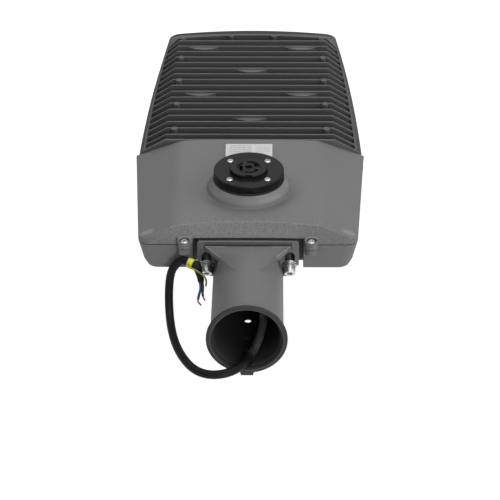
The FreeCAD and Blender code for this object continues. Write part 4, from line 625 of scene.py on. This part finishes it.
# Mesh building
def in_scene(name, data, material):
    """Object of a mesh or curve, with its finish, riding on the frame."""
    piece = bpy.data.objects.new(name, data)
    bpy.context.scene.collection.objects.link(piece)
    data.materials.append(material)
    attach(piece, "root")
    return piece


def polar(radius, angle):
    return radius * math.cos(angle), radius * math.sin(angle)


def circle(radius, height, count=48, flutes=0, depth=0.0):
    """Loop of points round the local Z axis; flutes knurl it."""
    angles = [2 * math.pi * index / count for index in range(count)]
    return [Vector((*polar(radius - depth * (0.5 + 0.5 * math.cos(flutes * angle)), angle), height))
            for angle in angles]


def star(corners, height, count):
    """Loop that follows a closed outline of corners given as (x, y), with about count points in all."""
    steps = count // len(corners)
    ends = [Vector((*corner, height)) for corner in corners]
    sides = zip(ends, ends[1:] + ends[:1])
    return [start.lerp(end, step / steps) for start, end in sides for step in range(steps)]


def hexagon(radius, height, count):
    """Six-sided loop with its corners at a radius."""
    return star([polar(radius, math.pi * corner / 3) for corner in range(6)], height, count)


def cross(reach, half, height, count=48):
    """Loop in the shape of a cross recess."""
    inner = half * 1.2
    quarter = [(reach, -half), (reach, half), (inner, inner)]
    corners = []
    for turn in range(4):
        cos, sin = polar(1, math.pi * turn / 2)
        corners += [(x * cos - y * sin, x * sin + y * cos) for x, y in quarter]
    return star(corners, height, count)


def rings_of(loops, mesh, at, axis, twist=0.0):
    """Rings of vertices at loops of points, set at a place with their local Z along an axis."""
    turn = UP.rotation_difference(axis).to_matrix().to_4x4() @ Matrix.Rotation(twist, 4, "Z")
    return [[mesh.verts.new(Matrix.Translation(at) @ turn @ point) for point in loop] for loop in loops]


def bridge(low, high, mesh):
    """Faces between two rings of as many vertices."""
    for index in range(len(low)):
        after = (index + 1) % len(low)
        mesh.faces.new((low[index], low[after], high[after], high[index]))


def skin(loops, at=Vector(), axis=UP, twist=0.0, mesh=None):
    """Closed skin over loops from the first to the last, set with its local Z along an axis."""
    mesh = mesh or bmesh.new()
    rings = rings_of(loops, mesh, at, axis, twist)
    for low, high in zip(rings, rings[1:]):
        bridge(low, high, mesh)
    mesh.faces.new(rings[0][::-1])
    mesh.faces.new(rings[-1])
    return mesh


def smoothed(data, angle):
    """The mesh data with smooth faces, and sharp edges past an angle in degrees."""
    data.shade_smooth()
    data.set_sharp_from_angle(angle=math.radians(angle))
    return data


def finished(name, mesh, angle=35):
    """Smoothed mesh data of a mesh that was built."""
    bmesh.ops.recalc_face_normals(mesh, faces=mesh.faces[:])
    data = bpy.data.meshes.new(name)
    mesh.to_mesh(data)
    mesh.free()
    return smoothed(data, angle)


def curve_data(name, route, radius, rounds=5, swell=()):
    """Smooth spline through the route's control points, as a tube; swell widens it at its first points."""
    data = bpy.data.curves.new(name, "CURVE")
    data.dimensions = "3D"
    data.resolution_u = 12
    data.bevel_depth, data.bevel_resolution = radius, rounds
    data.use_fill_caps = True
    spline = data.splines.new("NURBS")
    spline.points.add(len(route) - 1)
    for point, place in zip(spline.points, route):
        point.co = (*place, 1)
    for point, share in zip(spline.points, swell):
        point.radius = share
    spline.order_u = 3
    spline.use_endpoint_u = True
    return data


def carved(name, mesh, cutter, angle):
    """Mesh data of one closed mesh with another cut out of it."""
    blocks = [bpy.data.objects.new(name, finished(name, part)) for part in (mesh, cutter)]
    for block in blocks:
        bpy.context.scene.collection.objects.link(block)
    cut = blocks[0].modifiers.new("cut", "BOOLEAN")
    cut.object, cut.operation, cut.solver = blocks[1], "DIFFERENCE", "EXACT"
    bpy.context.view_layer.update()
    seen = blocks[0].evaluated_get(bpy.context.evaluated_depsgraph_get())
    data = bpy.data.meshes.new_from_object(seen)
    for block in blocks:
        left = block.data
        bpy.data.objects.remove(block)
        bpy.data.meshes.remove(left)
    data.materials.clear()
    return smoothed(data, angle)


def spline_points(route):
    """Points along the route's spline."""
    data = curve_data("route_line", route, 0)
    data.use_fill_caps = False
    line = bpy.data.objects.new("route_line", data)
    mesh = bpy.data.meshes.new_from_object(line)
    points = [vertex.co.copy() for vertex in mesh.vertices]
    bpy.data.objects.remove(line)
    bpy.data.meshes.remove(mesh)
    bpy.data.curves.remove(data)
    return points


def frames_along(points):
    """Each point with two directions across the line, turned as little as possible from one to the next."""
    side = (points[1] - points[0]).normalized().orthogonal().normalized()
    made = []
    for index, point in enumerate(points):
        before, after = points[max(index - 1, 0)], points[min(index + 1, len(points) - 1)]
        direction = (after - before).normalized()
        side = (side - direction * side.dot(direction)).normalized()
        made.append((point, side, direction.cross(side)))
    return made


# Pieces
def strands(route, radius, strand, name, material):
    """Bare strands that twist and fan out a little towards their ends, round one in the middle."""
    mesh = bmesh.new()
    line = frames_along(spline_points(route))
    for wire in range(STRAND_COUNT):
        rings = []
        for index, (point, side, across) in enumerate(line):
            share = index / (len(line) - 1)
            fan = 1 + STRAND_FAN * share ** 3 * math.sin(wire * 2.3)
            spread = 0 if wire == 0 else (radius - strand) * fan
            angle = 2 * math.pi * wire / (STRAND_COUNT - 1) + share * STRAND_TURN
            middle = point + (side * math.cos(angle) + across * math.sin(angle)) * spread
            rings.append([middle + (side * math.cos(a) + across * math.sin(a)) * strand
                          for a in [math.pi * corner / 4 for corner in range(8)]])
        skin(rings, mesh=mesh)
    return in_scene(name, finished(name, mesh), material)


def tape_band(radius, width):
    """Yellow tape in overlapping turns round the end of the sheath."""
    end = Vector(CABLE_ROUTE[-1])
    outline = ((0, 0.935), (0.0001, 0.965), (0.0016, 0.985), (0.0019, 0.965), (0.002, 0.98), (0.0038, 0.995),
               (0.0041, 0.97), (0.0042, 0.975), (width - 0.0004, 0.985), (width - 0.0001, 0.95), (width, 0.9))
    loops = [circle(radius * reach, height, 40) for height, reach in outline]
    return finished("tape_band", skin(loops, end, end - Vector(CABLE_ROUTE[-2])), 60)


def pan_head(seat, axis, shank, reach, head, height, recess, twist, mesh):
    """Screw with a domed head and a cross recess; its axis points into the work from the seat."""
    depth = min(height * 1.1, recess)
    loops = [circle(shank * 0.6, reach), circle(shank, reach - shank * 0.4), circle(shank, 0),
             circle(head * 0.94, 0), circle(head, -height * 0.12)]
    for share in (0.3, 0.55, 0.75):
        angle = share * math.pi / 2
        loops.append(circle(head * math.cos(angle) ** 0.6, -height * (0.2 + 0.8 * math.sin(angle))))
    loops += [circle(head * 0.62, -height * 0.985), cross(head * 0.56, head * 0.14, -height),
              cross(head * 0.53, head * 0.12, -height * 0.97), cross(head * 0.3, head * 0.09, -height + depth)]
    return skin(loops, seat, axis, twist, mesh)


def socket_head(seat, axis, mesh):
    """Cap screw of the adaptor with a knurled side, a rounded rim and a hexagon socket."""
    count, head, height, knurl = 180, BOLT_HEAD, BOLT_HEAD_HEIGHT, BOLT_HEAD * 0.018
    floor = BOLT_SOCKET_DEPTH - height
    outline = ((BOLT_SHANK * 0.75, BOLT_REACH), (BOLT_SHANK, BOLT_REACH - BOLT_SHANK * 0.3), (BOLT_SHANK, 0),
               (head * 0.95, 0), (head, -height * 0.06, knurl), (head, -height * 0.86, knurl),
               (head * 0.985, -height * 0.9), (head * 0.95, -height * 0.96), (head * 0.88, -height),
               (BOLT_SOCKET * 1.14, -height))
    loops = [circle(radius, place, count, BOLT_FLUTES, *depth) for radius, place, *depth in outline]
    loops += [hexagon(BOLT_SOCKET, 0.0003 - height, count), hexagon(BOLT_SOCKET, floor, count),
              circle(BOLT_SOCKET * 0.3, floor + 0.0008, count)]
    return skin(loops, seat, axis, BOLT_TURN, mesh)


def washer(at, axis, mesh):
    """Flat ring with softened corners."""
    inner, outer, thick, soft = WASHER_HOLE, WASHER_RADIUS, WASHER_THICK, WASHER_THICK * 0.15
    outline = ((inner, 0), (outer - soft, 0), (outer, soft), (outer, thick - soft), (outer - soft, thick),
               (inner, thick))
    rings = rings_of([circle(radius, height, 64) for radius, height in outline], mesh, at, axis)
    for low, high in zip(rings, rings[1:] + rings[:1]):
        bridge(low, high, mesh)


def spring_ring(at, axis, mesh, count=60):
    """Split ring that winds a little along its axis, with a gap between its ends."""
    inner, outer, thick, spare = WASHER_HOLE, SPRING_RADIUS, SPRING_THICK, SPRING_GAP / SPRING_RADIUS
    sections = []
    for index in range(count + 1):
        share = index / count
        angle = math.pi / 2 + spare / 2 + share * (2 * math.pi - spare)
        lift = thick * 0.3 * (share - 0.5)
        low, high = thick * 0.22 + lift, thick * 0.78 + lift
        corners = ((inner, low), (outer, low), (outer, high), (inner, high))
        sections.append([Vector((*polar(radius, angle), height)) for radius, height in corners])
    skin(sections, at, axis, mesh=mesh)


def slot_outline(start, end, wide_start, wide_end, steps=24):
    """Curved slot between two angles in degrees, wider towards the middle of the hub in one stretch."""
    angles = [start + (end - start) * step / steps for step in range(steps + 1)]
    outside = [(SLOT_OUTSIDE, angle) for angle in angles]
    inside = [(SLOT_WIDE_INSIDE if wide_start < angle < wide_end else SLOT_INSIDE, angle)
              for angle in reversed(angles)]
    return [polar(radius, math.radians(angle)) for radius, angle in outside + inside]


def solid_boxes(node):
    """Opposite corners of the box round each separate solid of a node."""
    mesh = bmesh.new()
    mesh.from_mesh(NODES[node].data)
    bmesh.ops.remove_doubles(mesh, verts=mesh.verts, dist=1e-6)
    left, boxes = set(mesh.verts), []
    while left:
        corners, stack = [], [left.pop()]
        while stack:
            vertex = stack.pop()
            corners.append(vertex.co)
            near = {edge.other_vert(vertex) for edge in vertex.link_edges} & left
            left -= near
            stack += near
        boxes.append([Vector([pick(c[i] for c in corners) for i in range(3)]) for pick in (min, max)])
    mesh.free()
    return sorted(boxes, key=lambda box: tuple(round(value, 4) for value in box[0]))


def dress(material, *nodes):
    """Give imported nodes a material."""
    for node in nodes:
        NODES[node].material_slots[0].material = material


def pale_floor(name):
    """Floor that looks white to the camera and in reflections and keeps the head's shadow; open from below."""
    finish = Finish(name)
    cloud = finish.noise(0.4)
    diffuse = finish.node("BsdfDiffuse", sockets={"Color": finish.shaded((0.42, 0.42, 0.42), 0.99 + cloud * 0.02)})
    path = finish.node("LightPath").socket.node.outputs
    seen = sum(Link(finish, path[f"Is {kind} Ray"]) for kind in ("Camera", "Glossy", "Transmission")).kept()
    glow = finish.node("Emission", sockets={"Color": (1, 1, 1, 1), "Strength": seen * 0.8})
    front = finish.node("AddShader", sockets={0: diffuse, 1: glow})
    below = finish.node("NewGeometry", out="Backfacing")
    both = finish.node("MixShader", sockets={0: below, 1: front, 2: finish.node("BsdfTransparent")})
    finish.node("OutputMaterial", sockets={"Surface": both})
    return finish.made


def studio(name, strength):
    """World that lights evenly, and is white where the camera looks past the floor."""
    finish = Finish(name, "worlds")
    sky, seen = [finish.node("Background", sockets={"Strength": value}) for value in (strength, 1)]
    camera = finish.node("LightPath", out="Is Camera Ray")
    finish.node("OutputWorld", sockets={0: finish.node("MixShader", sockets={0: camera, 1: sky, 2: seen})})
    return finish.made


# Operators
class LIGHTHEAD_OT_camera(bpy.types.Operator):
    """Set the camera at the photograph's angle"""
    bl_idname = "lighthead.camera"
    bl_label = "Set Camera"

    def execute(self, context):
        data = bpy.data.cameras.new("camera")
        data.sensor_width, data.lens = SENSOR, FOCAL_LENGTH / PHOTO_WIDTH * SENSOR
        data.clip_start, data.clip_end = 0.05, 50
        camera = bpy.data.objects.new("camera", data)
        pitch, yaw, roll = [math.radians(angle) for angle in (CAMERA_PITCH, CAMERA_YAW, CAMERA_ROLL)]
        ahead = Vector((math.sin(yaw) * math.cos(pitch), math.cos(yaw) * math.cos(pitch), -math.sin(pitch)))
        right = Vector((math.cos(yaw), -math.sin(yaw), 0))
        above = right.cross(ahead)
        level = right * math.cos(roll) + above * math.sin(roll)
        top = above * math.cos(roll) - right * math.sin(roll)
        turn = Matrix((level, top, -ahead)).transposed().to_4x4()
        camera.matrix_world = Matrix.Translation(CAMERA_PLACE) @ turn
        context.scene.collection.objects.link(camera)
        context.scene.camera = camera
        return {"FINISHED"}


class LIGHTHEAD_OT_cable(bpy.types.Operator):
    """Lay the mains cable with its tape, inner bundle, cores and bare strands"""
    bl_idname = "lighthead.cable"
    bl_label = "Lay Cable"

    def execute(self, context):
        sizes = context.scene.lighthead_cable
        sheath = cable_sheath("cable_sheath", SHEATH_COLOUR)
        cable = in_scene("cable", curve_data("cable", CABLE_ROUTE, sizes.diameter / 2, 7), sheath)
        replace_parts(cable, "mains_cable")
        tape = in_scene("cable_tape", tape_band(TAPE_RADIUS, TAPE_WIDTH), wound_tape("tape", TAPE_COLOUR))
        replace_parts(tape, "end_tape")
        inner = curve_data("cable_bundle", BUNDLE_ROUTE, sizes.bundle_diameter / 2, swell=BUNDLE_SWELL)
        bundle = in_scene("cable_bundle", inner, cable_sheath("inner_sheath", INNER_SHEATH_COLOUR))
        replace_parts(bundle, "core_bundle")
        pieces = [tape, bundle]
        for name, route, node, slot, share, colour, stripe in CORES:
            core = curve_data(name, route, share * sizes.core_diameter / 2)
            lead = in_scene(name, core, core_insulation(name, colour, stripe))
            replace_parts(lead, node)
            pieces.append(lead)
        copper = bare_copper("copper")
        tips = [strands(route, STRANDS_RADIUS, sizes.strand_diameter / 2, name, copper)
                for name, route in (("blue_strands", BLUE_TIP), ("brown_strands", BROWN_TIP))]
        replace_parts(tips[0], "bare_strands")
        pieces += tips
        return {"FINISHED"}


class LIGHTHEAD_OT_castings(bpy.types.Operator):
    """Coat the heat sink housing, the tray, the lid and the pole adaptor"""
    bl_idname = "lighthead.castings"
    bl_label = "Coat Castings"

    def execute(self, context):
        finish = context.scene.lighthead_finish
        grey, dark, grain, edge = finish.casting_colour, finish.sink_colour, finish.grain, finish.edge_radius
        dress(powder_coat("tray_coat", tuple(grey), grain, edge), "driver_tray")
        dress(powder_coat("lid_coat", tuple(grey), grain, 1.6 * edge, bends=(0.003, 0.03), painted_light_and_shade=lid_light_and_shade,
                          coarse=lid_coarse), "driver_cover")
        # The adaptor's coat is the casting colour a tenth darker: painted shade on the tube.
        dress(powder_coat("adaptor_coat", [shade * 0.9 for shade in grey], grain, edge, lift=0.8, bare=painted_bore_shade,
                          flow=tube_flow, painted_light_and_shade=shelf_rim_highlight), "pole_adaptor")
        dress(powder_coat("charcoal_coat", tuple(dark), grain, edge / 2, lift=1.0, sheen=0.44, shade_reach=0.006,
                          painted_light_and_shade=pad_highlight, rim=sink_rim_shade), "heat_sink_housing")
        dress(rubber_seal("black_seal", SEAL_COLOUR), "cover_gasket", "receptacle_gasket", "lens_gasket")
        return {"FINISHED"}


class LIGHTHEAD_OT_receptacle(bpy.types.Operator):
    """Finish the photocell receptacle, its contacts and the blank plate"""
    bl_idname = "lighthead.receptacle"
    bl_label = "Finish Receptacle"

    def execute(self, context):
        black = tuple(context.scene.lighthead_finish.plastic_colour)
        body = skin([circle(r * MM, z * MM, 120) for r, z in RECEPTACLE_PROFILE], RECEPTACLE_AXIS)
        cutter = bmesh.new()
        prisms = [(slot_outline(*slot), SLOT_FLOOR, RECEPTACLE_TOP) for slot in CONTACT_SLOTS]
        prisms += [(((-half, start), (half, start), (half, end), (-half, end)), low, high)
                   for half, start, end, low, high in NOTCHES]
        for outline, low, high in prisms:
            skin([[Vector((x, y, z)) for x, y in outline] for z in (low, high)], RECEPTACLE_AXIS, mesh=cutter)
        well = [circle(radius, height, 24) for radius, height in WELL_PROFILE]
        for x in (-WELL_ACROSS, WELL_ACROSS):
            for y in (-WELL_ALONG, WELL_ALONG):
                skin(well, RECEPTACLE_AXIS + Vector((x, y, 0)), mesh=cutter)
        receptacle = in_scene("receptacle_body", carved("receptacle_body", body, cutter, 20),
                              moulded_plastic("black_moulding", black, gloss=0.16))
        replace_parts(receptacle, "photocell_receptacle")
        dress(moulded_plastic("gland_moulding", GLAND_COLOUR, 0.45), "cable_gland")
        dress(stamped_brass("contact_brass"), "receptacle_contacts")
        dress(film_plate("blank_plate"), "rating_plate")
        return {"FINISHED"}


class LIGHTHEAD_OT_fasteners(bpy.types.Operator):
    """Make the screws, bolts and washers with their heads, recesses and rings"""
    bl_idname = "lighthead.fasteners"
    bl_label = "Make Fasteners"

    def execute(self, context):
        steel = turned_steel("bright_steel")
        made = {}
        for node, axis, *sizes, first_turn, turn in SCREWS:
            shank, head, height, recess = [size * MM for size in sizes]
            made[node] = mesh = bmesh.new()
            for index, (low, high) in enumerate(solid_boxes(node)):
                length = abs((high - low).dot(axis))
                seat = (low + high) / 2 + axis * (height - length / 2)
                pan_head(seat, axis, shank, length - height, head, height, recess, first_turn + index * turn, mesh)
        bolts, springs, flats = [made.setdefault(node, bmesh.new())
                                 for node in ("adaptor_bolts", "spring_washers", "flat_washers")]
        for seat in BOLT_SEATS:
            under = seat - BOLT_AXIS * (WASHER_THICK + SPRING_THICK)
            socket_head(under, BOLT_AXIS, bolts)
            spring_ring(under, BOLT_AXIS, springs)
            washer(seat - BOLT_AXIS * WASHER_THICK, BOLT_AXIS, flats)
        for node, mesh in made.items():
            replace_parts(in_scene(f"{node}_fine", finished(node, mesh), steel), node)
        return {"FINISHED"}


class LIGHTHEAD_OT_lamp(bpy.types.Operator):
    """Finish the lamp side: boards, chips and the clear lens plate"""
    bl_idname = "lighthead.lamp"
    bl_label = "Finish Lamp Side"

    def execute(self, context):
        dress(solder_mask("white_mask"), "led_boards")
        dress(phosphor("phosphor"), "led_chips")
        dress(clear_moulding("clear_lens"), "lens_plate")
        return {"FINISHED"}


class LIGHTHEAD_OT_driver(bpy.types.Operator):
    """Finish the driver, the surge protector and the terminal block"""
    bl_idname = "lighthead.driver"
    bl_label = "Finish Driver"

    def execute(self, context):
        dress(satin_case("driver_case", CASE_COLOUR), "led_driver", "surge_protector")
        dress(moulded_plastic("white_moulding", TERMINAL_COLOUR, 0.4), "terminal_block")
        return {"FINISHED"}


class LIGHTHEAD_OT_stage(bpy.types.Operator):
    """Put the pale floor under the head and light it softly"""
    bl_idname = "lighthead.stage"
    bl_label = "Set Stage"

    def execute(self, context):
        stage = context.scene.lighthead_stage
        mesh = bmesh.new()
        bmesh.ops.create_grid(mesh, x_segments=FLOOR_CELLS, y_segments=FLOOR_CELLS, size=FLOOR_HALF)
        for vertex in mesh.verts:
            vertex.co.z = CAD_BOX[0][2] - stage.floor_drop
        data = bpy.data.meshes.new("floor")
        mesh.to_mesh(data)
        mesh.free()
        floor = bpy.data.objects.new("floor", data)
        data.materials.append(pale_floor("pale_floor"))
        context.scene.collection.objects.link(floor)
        context.scene.world = studio("studio", stage.sky)
        context.scene.view_settings.view_transform = "Standard"
        for name, source, share, size, place, aim in LAMPS:
            data = bpy.data.lights.new(name, "AREA")
            data.energy, data.shape, data.size = getattr(stage, source) * share, "DISK", size
            lamp = bpy.data.objects.new(name, data)
            lamp.location = place
            lamp.rotation_euler = (Vector(aim) - Vector(place)).to_track_quat("-Z", "Y").to_euler()
            context.scene.collection.objects.link(lamp)
        return {"FINISHED"}


class LIGHTHEAD_PT_panel(bpy.types.Panel):
    """Panel with the sizes, the colours and one button for each group of pieces"""
    bl_idname = "LIGHTHEAD_PT_panel"
    bl_label = "Street Light Head"
    bl_space_type = "VIEW_3D"
    bl_region_type = "UI"
    bl_category = "Street Light"

    def draw(self, context):
        for group in (context.scene.lighthead_cable, context.scene.lighthead_finish, context.scene.lighthead_stage):
            box = self.layout.box()
            for name in group.bl_rna.properties.keys():
                if name not in ("rna_type", "name"):
                    box.prop(group, name)
        for operator in OPERATORS:
            self.layout.operator(operator.bl_idname)


GROUPS = {"lighthead_cable": LightHeadCable, "lighthead_finish": LightHeadFinish, "lighthead_stage": LightHeadStage}
OPERATORS = (LIGHTHEAD_OT_camera, LIGHTHEAD_OT_cable, LIGHTHEAD_OT_castings, LIGHTHEAD_OT_receptacle,
             LIGHTHEAD_OT_fasteners, LIGHTHEAD_OT_lamp, LIGHTHEAD_OT_driver, LIGHTHEAD_OT_stage)


def register():
    for kind in (*GROUPS.values(), *OPERATORS, LIGHTHEAD_PT_panel):
        bpy.utils.register_class(kind)
    for name, kind in GROUPS.items():
        setattr(bpy.types.Scene, name, bpy.props.PointerProperty(type=kind))


def unregister():
    for name in GROUPS:
        delattr(bpy.types.Scene, name)
    for kind in (LIGHTHEAD_PT_panel, *reversed(OPERATORS), *GROUPS.values()):
        bpy.utils.unregister_class(kind)


def main():
    register()
    for operator in OPERATORS:
        space, name = operator.bl_idname.split(".")
        getattr(getattr(bpy.ops, space), name)()


if __name__ == "__main__":
    main()
